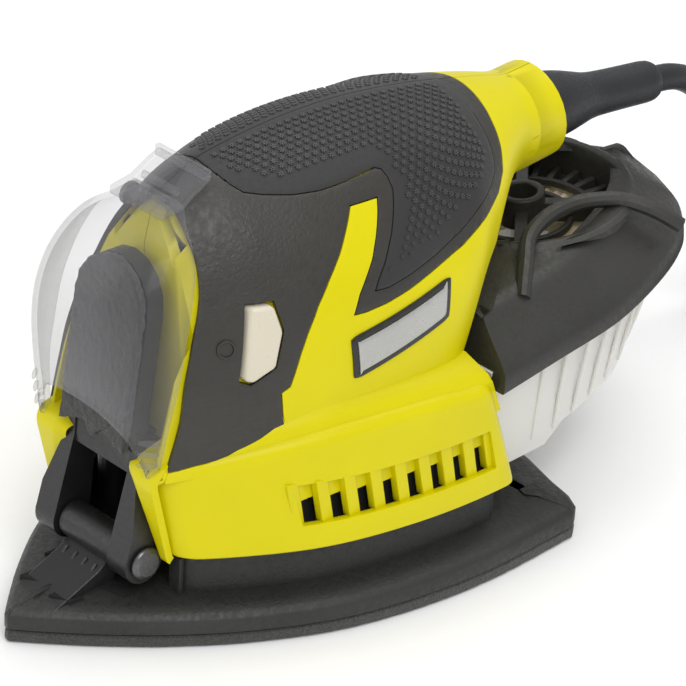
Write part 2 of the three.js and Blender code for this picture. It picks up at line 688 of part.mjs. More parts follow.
add('switch_body', box(-9, 9, switchY + switchLength / 2 + 0.6, switchY + switchLength / 2 + 4, 69, 83), blackPlastic);
add('capacitor', box(-15, -5, 12, 24, 86, 97), finish(0x6d7f8a, 0.5));
add('cord_clamp', box(-5.5, 5.5, 40.4, 45, 86.2, bootZ - cordRadius - gap), blackPlastic);
function corded(points, radius, sides, steps) {
  const section = [];
  for (let i = 0; i < sides; i += 1) {
    const angle = (2 * Math.PI * i) / sides;
    section.push([radius * Math.cos(angle), radius * Math.sin(angle)]);
  }
  const path = new THREE.CatmullRomCurve3(points.map(([x, y, z]) => new THREE.Vector3(x, y, z)));
  return solid(new THREE.ExtrudeGeometry(shapeOf(section), { steps, extrudePath: path }));
}
add('inner_lead', corded([
  [0, 45.6, bootZ], [0, 38, bootZ], [1, 28, bootZ + 0.5], [3, 18, 93], [6, 10, 91], [9, 4, 88],
], cordRadius, 8, 10), rubber);

// ---- Rubber posts and screws ----

postPlaces.forEach(([x, y], i) => {
  add(`rubber_post_${i + 1}`, rod(postRadius, plateTopZ - 3.2, postTopZ, 18).translate([x, y, 0]), rubber);
});
screwPlaces.forEach((place, i) => {
  const profile = [
    [0, screwSeatX - 2.4], [screwHeadRadius * 0.7, screwSeatX - 2.4], [screwHeadRadius, screwSeatX - 1.6],
    [screwHeadRadius, screwSeatX - gap], [screwRadius, screwSeatX - gap], [screwRadius, screwTipX], [0, screwTipX],
  ];
  add(`housing_screw_${i + 1}`, placed(turned(profile, 12), place), steel);
});

// ---- Boot, cord, coil and plug ----

// Turned about its middle by its droop, as everything that follows its axis is
const drooped = (body) => body.translate([0, -bootPivotY, 0]).rotate([-bootDroop, 0, 0]).translate([0, bootPivotY, bootZ]);
const boot = drooped(alongY(turned([
  [0, 46.8], [bootRadius - 0.6, 46.8], [bootRadius - 0.6, 58], [bootRadius, 60.4], [bootRadius + 0.2, 64], [bootRadius - 0.4, 69],
  [bootSleeveRadius + 1.4, 74.5], [bootSleeveRadius + 0.3, 79], [bootSleeveRadius, 84], [bootSleeveRadius - 0.2, 101.5],
  [bootSleeveRadius - 0.9, 103], [cordRadius + 0.4, bootEndY], [0, bootEndY],
], 20)));
add('cord_boot', boot, rubber);

const cordPoints = [
  [0, 104.2, 87.9], [-0.1, 111.2, 86.9], [-0.5, 117.7, 84.2], [-1.1, 123.4, 80], [-1.9, 127.9, 74.6], [-2.8, 131, 68.3],
  [-3.9, 133.2, 61.5], [-5.1, 135.3, 54.8], [-6.5, 137.5, 48.1], [-7.9, 139.7, 41.4], [-9.3, 141.9, 34.6],
  [-10.8, 144.6, 28.1], [-12.3, 148.3, 22.1], [-13.8, 152.9, 16.7], [-15.3, 158.2, 12.1], [-16.7, 164.3, 8.4],
  [-18, 170.8, 5.7], [-19.2, 177.6, 4.1], [-20.3, 184.7, 3.6],
];
const coilHalf = turnPitch * (coilLayers - 1) / 2 + cordRadius;
const coilTop = 2 * cordRadius + turnPitch * (coilLayers - 1);
const coilCorner = 2.5;
function coilRing(grow) {
  const inner = coilRadius - coilHalf - grow;
  const outer = coilRadius + coilHalf + grow;
  const top = coilTop + grow;
  const profile = [
    [inner + coilCorner, -grow], [outer - coilCorner, -grow], [outer, coilCorner], [outer, top - coilCorner],
    [outer - coilCorner, top], [inner + coilCorner, top], [inner, top - coilCorner], [inner, coilCorner],
    [inner + coilCorner, -grow],
  ];
  return turned(profile, 36).translate([coilX, coilY, 0]);
}
const coilRoom = coilRing(gap);
add('cord', largest(corded(cordPoints, cordRadius, cordSides, 34).subtract(coilRoom)), rubber);
add('cord_coil', coilRing(0), rubber);
const plugY = 204.5;
const plugX = -5;
const plugZ = coilTop + plugThickness / 2 + 0.4;
const tailPoints = [
  [51.4, 164.7, 18.1], [46.5, 160.7, 18.3], [41, 157.5, 19], [35, 155.3, 20], [28.7, 154.2, 21.3], [22.4, 154.1, 22.8],
  [16.2, 155.3, 24.4], [10.3, 157.8, 26], [5.2, 161.5, 27.5], [0.9, 166.2, 28.8], [-2.3, 171.7, 29.8],
  [-4.3, 177.7, 30.3], [-5, 184, 30.5],
];
add('cord_tail', largest(corded(tailPoints, cordRadius, cordSides, 14).subtract(coilRoom)), rubber);
const plugShape = slabZ([
  [-cordRadius - 1.5, 0], [cordRadius + 1.5, 0], [12, 5], [plugWidth / 2, 14], [plugWidth / 2, 26], [13, plugLength],
  [-13, plugLength], [-plugWidth / 2, 26], [-plugWidth / 2, 14], [-12, 5],
], -plugThickness / 2, plugThickness / 2);
const relief = alongY(turned([
  [0, -reliefLength], [cordRadius + 0.8, -reliefLength], [cordRadius + 2.4, 0], [cordRadius + 2.4, 2], [0, 2],
], 20));
add('plug', plugShape.add(relief).translate([plugX, plugY, plugZ]), rubber);
for (const [name, side] of [['left', -1], ['right', 1]]) {
  add(`plug_pin_${name}`, alongY(turned([
    [0, 0], [plugPinRadius, 0], [plugPinRadius, plugPinLength - 1.5], [plugPinRadius * 0.5, plugPinLength], [0, plugPinLength],
  ], 16)).translate([plugX + side * plugPinSpacing / 2, plugY + plugLength + gap, plugZ]), steel);
}
const tieAngle = 62; // degrees round the coil
const tieOuter = slabZ([[-coilHalf - 1.4, -2.5], [coilHalf + 1.4, -2.5], [coilHalf + 1.4, 2.5], [-coilHalf - 1.4, 2.5]],
  0, coilTop + 1.4);
const tie = tieOuter.translate([coilRadius, 0, 0]).rotate([0, 0, tieAngle]).translate([coilX, coilY, 0])
  .subtract(coilRoom);
add('coil_tie', largest(tie), finish(0x202124, 0.6));

// ---- Dust box ----

function lidBlock(levels) {
  const stations = 12;
  const outline = [];
  for (let i = 0; i <= stations; i += 1) outline.push([1, i / stations]);
  for (let i = stations; i >= 0; i -= 1) outline.push([-1, i / stations]);
  return warped(outline, levels.length - 1, (side, t, level) => {
    const [rise, inset, front] = levels[Math.round(level * (levels.length - 1))];
    const y0 = lidFrontY + front;
    const y = y0 + (boxRearY - inset * 0.8 - y0) * t ** 0.85;
    return [side * Math.max(lidWidth(y + inset * 0.8) - inset, 2), y, lipZ(y) + rise];
  });
}
const topRise = filterZ - lipZ(filterY);
const lidOutside = lidBlock([[0, 0, 0], [lidLip, 0.8, 1], [topRise - 3, 10, 3], [topRise, 14, 5]]);
const lidInside = lidBlock([[-1, 2, -4], [lidLip, 3, -4], [topRise - 4, 13, 6], [topRise - 3.5, 17, 8]]);
const tilted = (body) => body.rotate([THREE.MathUtils.radToDeg(lidTilt), 0, 0]).translate([0, filterY, filterZ]);
const wellDepth = 9;
const well = tilted(rod(filterRadius, -40, 20, 32));
const spokes = [];
for (let i = 0; i < 4; i += 1) {
  spokes.push(box(hubRadius - 0.5, filterRadius + 1.4, -1.6, 1.6, -wellDepth + 1, -3).rotate([0, 0, i * 90 + 45]));
}
const filterHub = tube(hubRadius, hubBore, -wellDepth + 1, 0.5, 24);
const spider = tilted(spokes.reduce((all, one) => all.add(one), filterHub));
const ringWall = tilted(tube(filterRadius + 1.6, filterRadius, -wellDepth, -2, 32));
const archWidth = 2.2;
function arch(side) {
  const points = [[33, 27, 62.5], [21, 40, 70.5], [18, 50, 72.2], [23, 70, 72.8], [34, 82, 66]];
  const bars = [];
  for (let i = 0; i < points.length - 1; i += 1) {
    const a = new THREE.Vector3(...points[i]);
    const b = new THREE.Vector3(...points[i + 1]);
    a.x *= side;
    b.x *= side;
    const bar = new THREE.BoxGeometry(archWidth * 1.6, a.distanceTo(b) + archWidth, archWidth * 1.4);
    const turn = new THREE.Quaternion().setFromUnitVectors(new THREE.Vector3(0, 1, 0), b.clone().sub(a).normalize());
    bar.applyQuaternion(turn);
    bar.translate((a.x + b.x) / 2, (a.y + b.y) / 2, (a.z + b.z) / 2);
    bars.push(solid(bar));
  }
  return bars.reduce((all, one) => all.add(one));
}
const lid = lidOutside.subtract(lidInside).subtract(well).add(ringWall).add(spider)
  .add(arch(1)).add(arch(-1));
add('box_lid', largest(lid), blackPlastic);

const pleats = [];
for (let i = 0; i < pleatCount * 2; i += 1) {
  const angle = (Math.PI * i) / pleatCount;
  const radius = i % 2 ? filterRadius - 0.4 : filterRadius - 3;
  pleats.push([radius * Math.cos(angle), radius * Math.sin(angle)]);
}
const filter = slabZ(pleats, -wellDepth - 8, -wellDepth - gap).subtract(rod(hubRadius + 5, -60, 0, 24));
add('pleated_filter', tilted(filter), filterPaper);

function binBlock(inset, floor) {
  const stations = 10;
  const outline = [];
  for (let i = 0; i <= stations; i += 1) outline.push([1, i / stations]);
  for (let i = stations; i >= 0; i -= 1) outline.push([-1, i / stations]);
  return warped(outline, 1, (side, t, level) => {
    const draft = level < 0.5 ? 2.5 : 0;
    const topZ = (y) => lipZ(y) + lidLip - 0.8;
    const front = (level < 0.5 ? skirtRear(floor) + 1 : skirtRear(50) + 1.4) + inset;
    const rear = boxRearY - (binInset + inset) * 0.8 - draft * 4;
    const y = front + (rear - front) * t ** 0.9;
    const z = level < 0.5 ? floor + 4 * THREE.MathUtils.smoothstep(y, 36, 40) : topZ(y);
    const width = lidWidth(y + (binInset + inset) * 0.8 + draft * 3.5);
    return [side * Math.max(width - binInset - draft - inset, 3), y, z];
  });
}
const bin = binBlock(0, binBottomZ).subtract(binBlock(binWall, binBottomZ + binWall).add(
  binBlock(binWall, binBottomZ + binWall).translate([0, 0, 1])))
  .subtract(lidBlock([[lidLip - 1, -6, -6], [40, -6, -6]]));
add('dust_bin', largest(bin), milky);
add('dust_port_seal', alongY(tube(7.6, 6, 11.4, 19.6, 16)).translate([0, 0, 36]).subtract(binBlock(-gap, binBottomZ)), rubber);

export default part;
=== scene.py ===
import bpy
import bmesh
import math
from mathutils import Matrix, Vector, noise


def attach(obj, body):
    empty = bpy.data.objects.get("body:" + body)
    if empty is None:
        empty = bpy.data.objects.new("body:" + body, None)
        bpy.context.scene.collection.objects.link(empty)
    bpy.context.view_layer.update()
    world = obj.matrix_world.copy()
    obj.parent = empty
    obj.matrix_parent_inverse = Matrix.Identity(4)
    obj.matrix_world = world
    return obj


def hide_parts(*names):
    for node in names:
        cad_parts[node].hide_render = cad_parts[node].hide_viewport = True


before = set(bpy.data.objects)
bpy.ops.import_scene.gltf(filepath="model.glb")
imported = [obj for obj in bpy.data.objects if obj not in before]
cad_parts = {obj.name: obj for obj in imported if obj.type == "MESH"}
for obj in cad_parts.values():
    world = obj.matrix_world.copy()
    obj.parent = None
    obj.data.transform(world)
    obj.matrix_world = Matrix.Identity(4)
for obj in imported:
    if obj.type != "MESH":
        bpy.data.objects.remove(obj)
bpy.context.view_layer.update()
mm = 0.001
pi = math.pi


# Every size here is in millimetres, unless it is multiplied by mm.
# A smooth curve through the points, level beyond both ends.
def through(points):
    last = len(points) - 1

    def at(value):
        v = min(max(value, points[0][0]), points[last][0])
        i = 0
        while i < last - 1 and v > points[i + 1][0]:
            i += 1
        before = points[max(i - 1, 0)]
        x0, y0 = points[i]
        x1, y1 = points[i + 1]
        after = points[min(i + 2, last)]
        span = x1 - x0
        slope0 = (y1 - before[1]) / (x1 - before[0])
        slope1 = (after[1] - y0) / (after[0] - x0)
        t = (v - x0) / span
        return ((2 * t ** 3 - 3 * t ** 2 + 1) * y0 + (t ** 3 - 2 * t ** 2 + t) * span * slope0
                + (3 * t ** 2 - 2 * t ** 3) * y1 + (t ** 3 - t ** 2) * span * slope1)
    return at


def ease(v, low, high):
    t = min(max((v - low) / (high - low), 0.0), 1.0)
    return t * t * (3 - 2 * t)


def mix(a, b, t):
    return a + (b - a) * t


plateHalf = 51.6
noseY = -105
body = {"half": 37.5, "high": 113.4, "lean": 14, "leanFrom": 0.1, "front": -82, "back": 50.5, "step": 1.1}
plateWidth = through([(y, s * plateHalf) for y, s in (
    (-105, 0.012), (-98.6, 0.138), (-89.5, 0.304), (-76.7, 0.506), (-60.3, 0.709), (-40.2, 0.882),
    (-18.3, 0.973), (4.6, 1), (33.8, 0.961))])
bodyWidth = through([(y, s * body["half"]) for y, s in (
    (-78, 0.56), (-66, 0.69), (-55, 0.81), (-40, 0.93), (-20, 1), (0, 0.985), (12, 0.9), (20, 0.79),
    (28, 0.67), (38, 0.49), (46, 0.37), (52, 0.3387))])
bodyTop = through([(y, body["high"] + d) for y, d in (
    (-78, -19), (-66, -11.5), (-53, -4.6), (-45, -2.6), (-31, -0.7), (-18, 0), (-4, -0.3), (14, -2.3),
    (31, -5.3), (41, -7.3), (48, -9), (52, -9.4))])
bodyBottom = through([
    (-78, 42), (-10, 44), (2, 48), (8, 58), (14, 69), (20, 75), (28, 79), (38, 80), (52, 79.3)])


# The front sections lean back: the higher a point, the further back it lies.
def leanBack(a, h):
    return (h - body["leanFrom"]) * body["lean"] * ease(-a, -10, 76)


# A point of the outer surface, for a section at a and a height share h between 0 and 1.
def bodyPoint(a, h, inset=0):
    y = a + leanBack(a, h)
    blend = ease(y, 22, 48)
    dome = max(1 - h ** 3.4, 0) ** 0.62 * (0.965 + 0.035 * math.sin(pi * min(h * 1.5, 1)))
    ring = math.sqrt(max(1 - (2 * h - 1) ** 2, 0))
    low = bodyBottom(a)
    across = mix(dome, ring, blend)
    return Vector((across * (bodyWidth(a) - inset), y, low + h * (bodyTop(y) - inset - low)))


# Finds the section and the height share of a point seen from the side.
def bodyParams(y, z):
    a = y
    h = 0.5
    for _ in range(30):
        low = bodyBottom(a)
        h = min(max((z - low) / (bodyTop(y) - low), 0), 1)
        a += 0.6 * (y - leanBack(a, h) - a)
    return a, h


def bodyAt(y, z, inset=0):
    return bodyPoint(*bodyParams(y, z), inset)


# Outlines are drawn from the side, as (y, z) points.
def inside(point, loop):
    y, z = point
    hit = False
    j = len(loop) - 1
    for i in range(len(loop)):
        (yi, zi), (yj, zj) = loop[i], loop[j]
        if (zi > z) != (zj > z) and y < (yj - yi) * (z - zi) / (zj - zi) + yi:
            hit = not hit
        j = i
    return hit


def nearest(point, loops):
    best = (1e9, point)
    for loop in loops:
        for i in range(len(loop)):
            ay, az = loop[i]
            by, bz = loop[(i + 1) % len(loop)]
            dy, dz = by - ay, bz - az
            length = dy * dy + dz * dz or 1e-9
            t = min(max(((point[0] - ay) * dy + (point[1] - az) * dz) / length, 0), 1)
            q = (ay + dy * t, az + dz * t)
            d = (q[0] - point[0]) ** 2 + (q[1] - point[1]) ** 2
            if d < best[0]:
                best = (d, q)
    return best[0] ** 0.5, best[1]


def oriented(loop):
    area = sum(loop[i][0] * loop[(i + 1) % len(loop)][1] - loop[(i + 1) % len(loop)][0] * loop[i][1]
               for i in range(len(loop)))
    return list(loop) if area > 0 else list(reversed(loop))


def offset(loop, amount):
    loop = oriented(loop)
    out = []
    for i in range(len(loop)):
        p, q, r = (Vector(loop[k % len(loop)]) for k in (i - 1, i, i + 1))
        a, b = (q - p).normalized(), (r - q).normalized()
        normal = Vector((-a.y - b.y, a.x + b.x)).normalized()
        reach = amount / max(normal.dot(Vector((-a.y, a.x))), 0.4)
        out.append(tuple(q + normal * reach))
    return out


def rounded(loop, rounds=2, share=0.25):
    for _ in range(rounds):
        out = []
        for i in range(len(loop)):
            a, b = Vector(loop[i]), Vector(loop[(i + 1) % len(loop)])
            out += [tuple(a.lerp(b, share)), tuple(a.lerp(b, 1 - share))]
        loop = out
    return loop


# An open shell has no inside of its own, so its faces are turned away from a core line or point.
def facedOut(bm, core):
    total = 0.0
    for face in bm.faces:
        p = face.calc_center_median() / mm
        away = Vector((p.x - core[0], 0 if core[1] is None else p.y - core[1], p.z - core[2]))
        total += face.calc_area() * face.normal.dot(away.normalized())
    if total < 0:
        bmesh.ops.reverse_faces(bm, faces=bm.faces)


def toObject(bm, name, material, rides, replaced=(), smooth=True, core=None):
    bmesh.ops.recalc_face_normals(bm, faces=bm.faces)
    if core:
        facedOut(bm, core)
    mesh = bpy.data.meshes.new(name)
    bm.to_mesh(mesh)
    bm.free()
    piece = bpy.data.objects.new(name, mesh)
    bpy.context.scene.collection.objects.link(piece)
    mesh.materials.append(material)
    if smooth:
        for poly in mesh.polygons:
            poly.use_smooth = True
        mesh.set_sharp_from_angle(angle=math.radians(34))
    if rides:
        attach(piece, rides)
    if replaced:
        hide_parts(*replaced)
    return piece


# Gives an open shell its wall, inwards from the drawn surface.
def thicken(piece, wall, bevel=0.3, segments=2, angle=40):
    solid = piece.modifiers.new("wall", "SOLIDIFY")
    solid.thickness = wall * mm
    solid.offset = -1
    solid.use_even_offset = False
    softened(piece, bevel, segments, angle)


def softened(piece, width, segments=2, angle=35):
    edge = piece.modifiers.new("edges", "BEVEL")
    edge.width = width * mm
    edge.segments = segments
    edge.limit_method = "ANGLE"
    edge.angle_limit = math.radians(angle)
    edge.harden_normals = False


def gridMesh(rows, closedRows=False, closedColumns=False):
    bm = bmesh.new()
    verts = [[bm.verts.new(Vector(p) * mm) for p in row] for row in rows]
    rowCount, columnCount = len(verts), len(verts[0])
    for i in range(rowCount if closedRows else rowCount - 1):
        for j in range(columnCount if closedColumns else columnCount - 1):
            a, b = verts[i][j], verts[i][(j + 1) % columnCount]
            c, d = verts[(i + 1) % rowCount][(j + 1) % columnCount], verts[(i + 1) % rowCount][j]
            bm.faces.new((a, b, c, d))
    return bm, verts


def cleaned(bm, distance=0.02):
    bmesh.ops.remove_doubles(bm, verts=bm.verts, dist=distance * mm)
    flat = [f for f in bm.faces if f.calc_area() < 1e-12]
    if flat:
        bmesh.ops.delete(bm, geom=flat, context="FACES")
    loose = [v for v in bm.verts if not v.link_faces]
    bmesh.ops.delete(bm, geom=loose, context="VERTS")


# a border corner takes the nearest vertex within this squared distance
cornerReachSquared = 2.2


# Keeps the faces of a grid that pass a test, then moves the cut edge onto the drawn borders.
def cutPatch(rows, keep, borders, project, reach=1.6):
    bm, _ = gridMesh(rows)
    doomed = [face for face in bm.faces if not keep(face.calc_center_median() / mm)]
    bmesh.ops.delete(bm, geom=doomed, context="FACES")
    cleaned(bm, 0.001)
    edge = [v for v in bm.verts if v.is_boundary]
    places = {}
    for v in edge:
        p = v.co / mm
        d, q = nearest((p.y, p.z), borders)
        if d < reach:
            places[v] = q
    corners = []
    for loop in borders:
        for i in range(len(loop)):
            a, b, c = (Vector(loop[k % len(loop)]) for k in (i - 1, i, i + 1))
            if (b - a).length > 0.3 and (c - b).length > 0.3 and (b - a).angle(c - b) > 0.35:
                corners.append(loop[i])
    for corner in corners:
        def away(v):
            return (v.co.y / mm - corner[0]) ** 2 + (v.co.z / mm - corner[1]) ** 2
        for v in sorted(places, key=away)[:1]:
            if away(v) < cornerReachSquared:
                places[v] = corner
    for v, (y, z) in places.items():
        v.co = project(y, z, v.co / mm) * mm
    cleaned(bm, 0.08)
    return bm


def mirrored(bm):
    twin = bm.copy()
    for v in twin.verts:
        v.co.x = -v.co.x
    bmesh.ops.reverse_faces(twin, faces=twin.faces)
    return twin


def lathe(points, steps=48, axis="Z", place=(0, 0, 0), turn=None):
    rows = []
    for k in range(steps):
        angle = 2 * pi * k / steps
        row = []
        for r, h in points:
            p = Vector((r * math.cos(angle), r * math.sin(angle), h))
            if axis == "X":
                p = Vector((p.z, p.x, p.y))
            if axis == "Y":
                p = Vector((p.x, p.z, p.y))
            if turn:
                p = turn @ p
            row.append(p + Vector(place))
        rows.append(row)
    bm, _ = gridMesh(rows, closedRows=True)
    cleaned(bm, 0.002)
    return bm


def joined(*meshes):
    bm = meshes[0]
    for other in meshes[1:]:
        mesh = bpy.data.meshes.new("part")
        other.to_mesh(mesh)
        other.free()
        bm.from_mesh(mesh)
        bpy.data.meshes.remove(mesh)
    return bm


def prism(loop, x0, x1, axis="X", bm=None):
    bm = bm or bmesh.new()

    def at(a, b, c):
        p = {"X": (c, a, b), "Y": (a, c, b), "Z": (a, b, c)}[axis]
        return bm.verts.new(Vector(p) * mm)
    low = [at(a, b, x0) for a, b in loop]
    high = [at(a, b, x1) for a, b in loop]
    count = len(loop)
    for i in range(count):
        bm.faces.new((low[i], low[(i + 1) % count], high[(i + 1) % count], high[i]))
    bm.faces.new(list(reversed(low)))
    bm.faces.new(high)
    bmesh.ops.recalc_face_normals(bm, faces=bm.faces)
    return bm


def copyOf(node):
    bm = bmesh.new()
    bm.from_mesh(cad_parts[node].data)
    bmesh.ops.remove_doubles(bm, verts=bm.verts, dist=0.01 * mm)
    bmesh.ops.dissolve_limit(bm, angle_limit=math.radians(2), verts=bm.verts, edges=bm.edges)
    return bm


def newMaterial(name):
    material = bpy.data.materials.new(name)
    material.use_nodes = True
    tree = material.node_tree
    tree.nodes.clear()
    out = tree.nodes.new("ShaderNodeOutputMaterial")
    shader = tree.nodes.new("ShaderNodeBsdfPrincipled")
    tree.links.new(shader.outputs[0], out.inputs[0])
    coords = tree.nodes.new("ShaderNodeTexCoord")
    return material, tree, shader, coords.outputs["Object"]


def noiseNode(tree, coords, scale, detail=3, rough=0.5):
    node = tree.nodes.new("ShaderNodeTexNoise")
    node.inputs["Scale"].default_value = scale
    node.inputs["Detail"].default_value = detail
    node.inputs["Roughness"].default_value = rough
    tree.links.new(coords, node.inputs["Vector"])
    return node


def ramp(tree, source, stops):
    node = tree.nodes.new("ShaderNodeValToRGB")
    while len(node.color_ramp.elements) < len(stops):
        node.color_ramp.elements.new(0.5)
    for element, (place, color) in zip(node.color_ramp.elements, stops):
        element.position = place
        element.color = (*color, 1) if len(color) == 3 else color
    tree.links.new(source, node.inputs[0])
    return node


def bumpNode(tree, height, strength, distance, before=None):
    node = tree.nodes.new("ShaderNodeBump")
    node.inputs["Strength"].default_value = strength
    node.inputs["Distance"].default_value = distance
    tree.links.new(height, node.inputs["Height"])
    if before:
        tree.links.new(before, node.inputs["Normal"])
    return node.outputs[0]


def shade(value):
    return (value, value, value)


# Mixes a paler color in along the sharp edges, where a part is rubbed.
def worn(tree, source, color, wear):
    geometry = tree.nodes.new("ShaderNodeNewGeometry")
    edge = ramp(tree, geometry.outputs["Pointiness"], [(0.505, shade(0)), (0.56, shade(wear))])
    blend = tree.nodes.new("ShaderNodeMix")
    blend.data_type = "RGBA"
    tree.links.new(edge.outputs[0], blend.inputs[0])
    tree.links.new(source, blend.inputs[6])
    blend.inputs[7].default_value = (*[min(c * 1.7 + 0.03, 1) for c in color], 1)
    return blend.outputs[2]


# A moulded or machined surface: its color drifts slowly, its gloss varies and a fine grain is raised on it.
def plastic(name, color, rough=0.45, grain=900, depth=0.3, distance=0.0002, vary=0.12, wear=0.0,
            sheen=0, specular=0.5, metallic=0.0, roughVary=0.12):
    material, tree, shader, coords = newMaterial(name)
    big = noiseNode(tree, coords, 35, 3)
    dark = tuple(c * (1 - vary) for c in color)
    lift = tuple(min(c * (1 + vary) + vary * 0.01, 1) for c in color)
    tint = ramp(tree, big.outputs["Fac"], [(0.3, dark), (0.7, lift)]).outputs[0]
    if wear:
        tint = worn(tree, tint, color, wear)
    tree.links.new(tint, shader.inputs["Base Color"])
    fine = noiseNode(tree, coords, grain * 0.5, 2)
    gloss = [(0.3, shade(max(rough - roughVary, 0.02))), (0.7, shade(rough + roughVary))]
    tree.links.new(ramp(tree, fine.outputs["Fac"], gloss).outputs[0], shader.inputs["Roughness"])
    height = noiseNode(tree, coords, grain, 3, 0.6).outputs["Fac"]
    tree.links.new(bumpNode(tree, height, depth, distance), shader.inputs["Normal"])
    shader.inputs["Metallic"].default_value = metallic
    shader.inputs["Specular IOR Level"].default_value = specular
    shader.inputs["Sheen Weight"].default_value = sheen
    return material


lime = plastic("limePlastic", (0.66, 0.585, 0.0), rough=0.36, grain=2600, depth=0.10, distance=0.00006,
               vary=0.03, roughVary=0.05, specular=0.22)
darkShell = plastic("darkShell", (0.0265, 0.025, 0.021), rough=0.44, grain=1150, depth=0.6, distance=0.00024,
                    vary=0.12, roughVary=0.1)
blackPlate = plastic("blackPlate", (0.017, 0.0175, 0.0165), rough=0.5, grain=1500, depth=0.6,
                     distance=0.00025, vary=0.2)
blackSmooth = plastic("blackSmooth", (0.011, 0.011, 0.0115), rough=0.4, grain=2200, depth=0.2,
                      distance=0.0001, vary=0.2)
lidPlastic = plastic("lidPlastic", (0.024, 0.0235, 0.020), rough=0.46, grain=1700, depth=0.3,
                     distance=0.00014, vary=0.12)
cream = plastic("creamPlastic", (0.63, 0.58, 0.46), rough=0.36, grain=2400, depth=0.1, distance=0.00006,
                vary=0.04)
silver = plastic("badgeSilver", (0.45, 0.45, 0.43), rough=0.38, grain=3000, depth=0.1, distance=0.00004,
                 vary=0.06, metallic=0.6)
badgeBlack = plastic("badgeBlack", (0.012, 0.012, 0.011), rough=0.3, grain=2500, depth=0.08, distance=0.00005)
paper = plastic("filterPaper", (0.78, 0.68, 0.47), rough=0.85, grain=900, depth=0.4, distance=0.0002,
                vary=0.08)
rubberBlack = plastic("softRubber", (0.014, 0.015, 0.018), rough=0.47, grain=2500, depth=0.15,
                      distance=0.00006, vary=0.2, specular=0.45)
steel = plastic("steel", (0.42, 0.42, 0.43), rough=0.3, grain=2200, depth=0.1, distance=0.00004, vary=0.1,
                metallic=1.0)
pinSteel = plastic("pinSteel", (0.085, 0.085, 0.088), rough=0.34, grain=2200, depth=0.12, distance=0.00005,
                   vary=0.15, wear=0.5, metallic=0.8)
copper = plastic("copperWire", (0.62, 0.27, 0.11), rough=0.32, grain=1600, depth=0.3, distance=0.0002,
                 metallic=1.0)
brass = plastic("brassSheet", (0.66, 0.48, 0.2), rough=0.35, grain=1800, depth=0.1, distance=0.00006,
                metallic=1.0)
greyCan = plastic("greyCan", (0.2, 0.25, 0.29), rough=0.5, grain=1500, depth=0.15, distance=0.0001)
# Near-black and matt: the real colour of the carbon brushes, and painted shade where it fills the wall behind the vent
# and the plate's pockets.
carbonAndPaintedShade = plastic("carbonAndPaintedShade", (0.006, 0.006, 0.006), rough=0.9, grain=900, depth=0.2)
gripRubber = plastic("gripRubber", (0.0215, 0.0215, 0.0215), rough=0.56, grain=1900, depth=0.4,
                     distance=0.00012, vary=0.12, roughVary=0.08, sheen=0.1, specular=0.4)
gripMark = plastic("gripMark", (0.045, 0.045, 0.045), rough=0.5, grain=2200, depth=0.2, distance=0.00006,
                   vary=0.15, sheen=0.1)


# Hook and loop cloth: fine fibres in soft clumps.
def hookMaterial(name, color):
    material, tree, shader, coords = newMaterial(name)
    fibre = noiseNode(tree, coords, 2600, 4, 0.7)
    clump = noiseNode(tree, coords, 500, 3, 0.6)
    dark = tuple(c * 0.35 for c in color)
    pale = tuple(c * 2.2 for c in color)
    tint = ramp(tree, fibre.outputs["Fac"], [(0.35, dark), (0.75, pale)])
    tree.links.new(tint.outputs[0], shader.inputs["Base Color"])
    first = bumpNode(tree, clump.outputs["Fac"], 0.8, 0.0008)
    normal = bumpNode(tree, fibre.outputs["Fac"], 1.0, 0.0006, first)
    tree.links.new(normal, shader.inputs["Normal"])
    shader.inputs["Roughness"].default_value = 0.9
    shader.inputs["Sheen Weight"].default_value = 0.25
    return material


hookEdge = hookMaterial("hookEdge", (0.045, 0.044, 0.042))


# See-through plastic: most of it shows what is behind, and it turns hazier where it is seen edge on.
def clearMaterial(name, color, haze, rough, solid):
    material, tree, shader, coords = newMaterial(name)
    shader.inputs["Base Color"].default_value = (*haze, 1)
    shader.inputs["Roughness"].default_value = rough
    shader.inputs["Specular IOR Level"].default_value = 0.8
    fine = noiseNode(tree, coords, 900, 3)
    normal = bumpNode(tree, fine.outputs["Fac"], 0.25, 0.00012)
    tree.links.new(normal, shader.inputs["Normal"])
    glass = tree.nodes.new("ShaderNodeBsdfTransparent")
    glass.inputs[0].default_value = (*color, 1)
    facing = tree.nodes.new("ShaderNodeLayerWeight")
    facing.inputs["Blend"].default_value = 0.35
    flat, edgeOn = solid
    stops = [(0.0, shade(flat)), (0.55, shade(mix(flat, edgeOn, 0.4))), (1.0, shade(edgeOn))]
    amount = ramp(tree, facing.outputs["Facing"], stops)
    blend = tree.nodes.new("ShaderNodeMixShader")
    tree.links.new(amount.outputs[0], blend.inputs[0])
    tree.links.new(glass.outputs[0], blend.inputs[1])
    tree.links.new(shader.outputs[0], blend.inputs[2])
    tree.links.new(blend.outputs[0], tree.nodes["Material Output"].inputs[0])
    return material


smoke = clearMaterial("smokedClear", (0.96, 0.96, 0.96), (0.30, 0.30, 0.32), 0.14, (0.08, 0.5))
milky = clearMaterial("milkyClear", (0.95, 0.95, 0.93), (0.86, 0.85, 0.81), 0.32, (0.66, 0.95))
print("materials done")


# The camera stands front left of the tool and looks down on it; angles are in radians, places in metres.
view = {"yaw": 0.8186, "pitch": 0.4910, "roll": 0.0461, "place": (0.58853, -0.55807, 0.47937),
        "sensor": 36, "lens": 196.3, "shift": (0.0282, -0.0050), "far": 20}


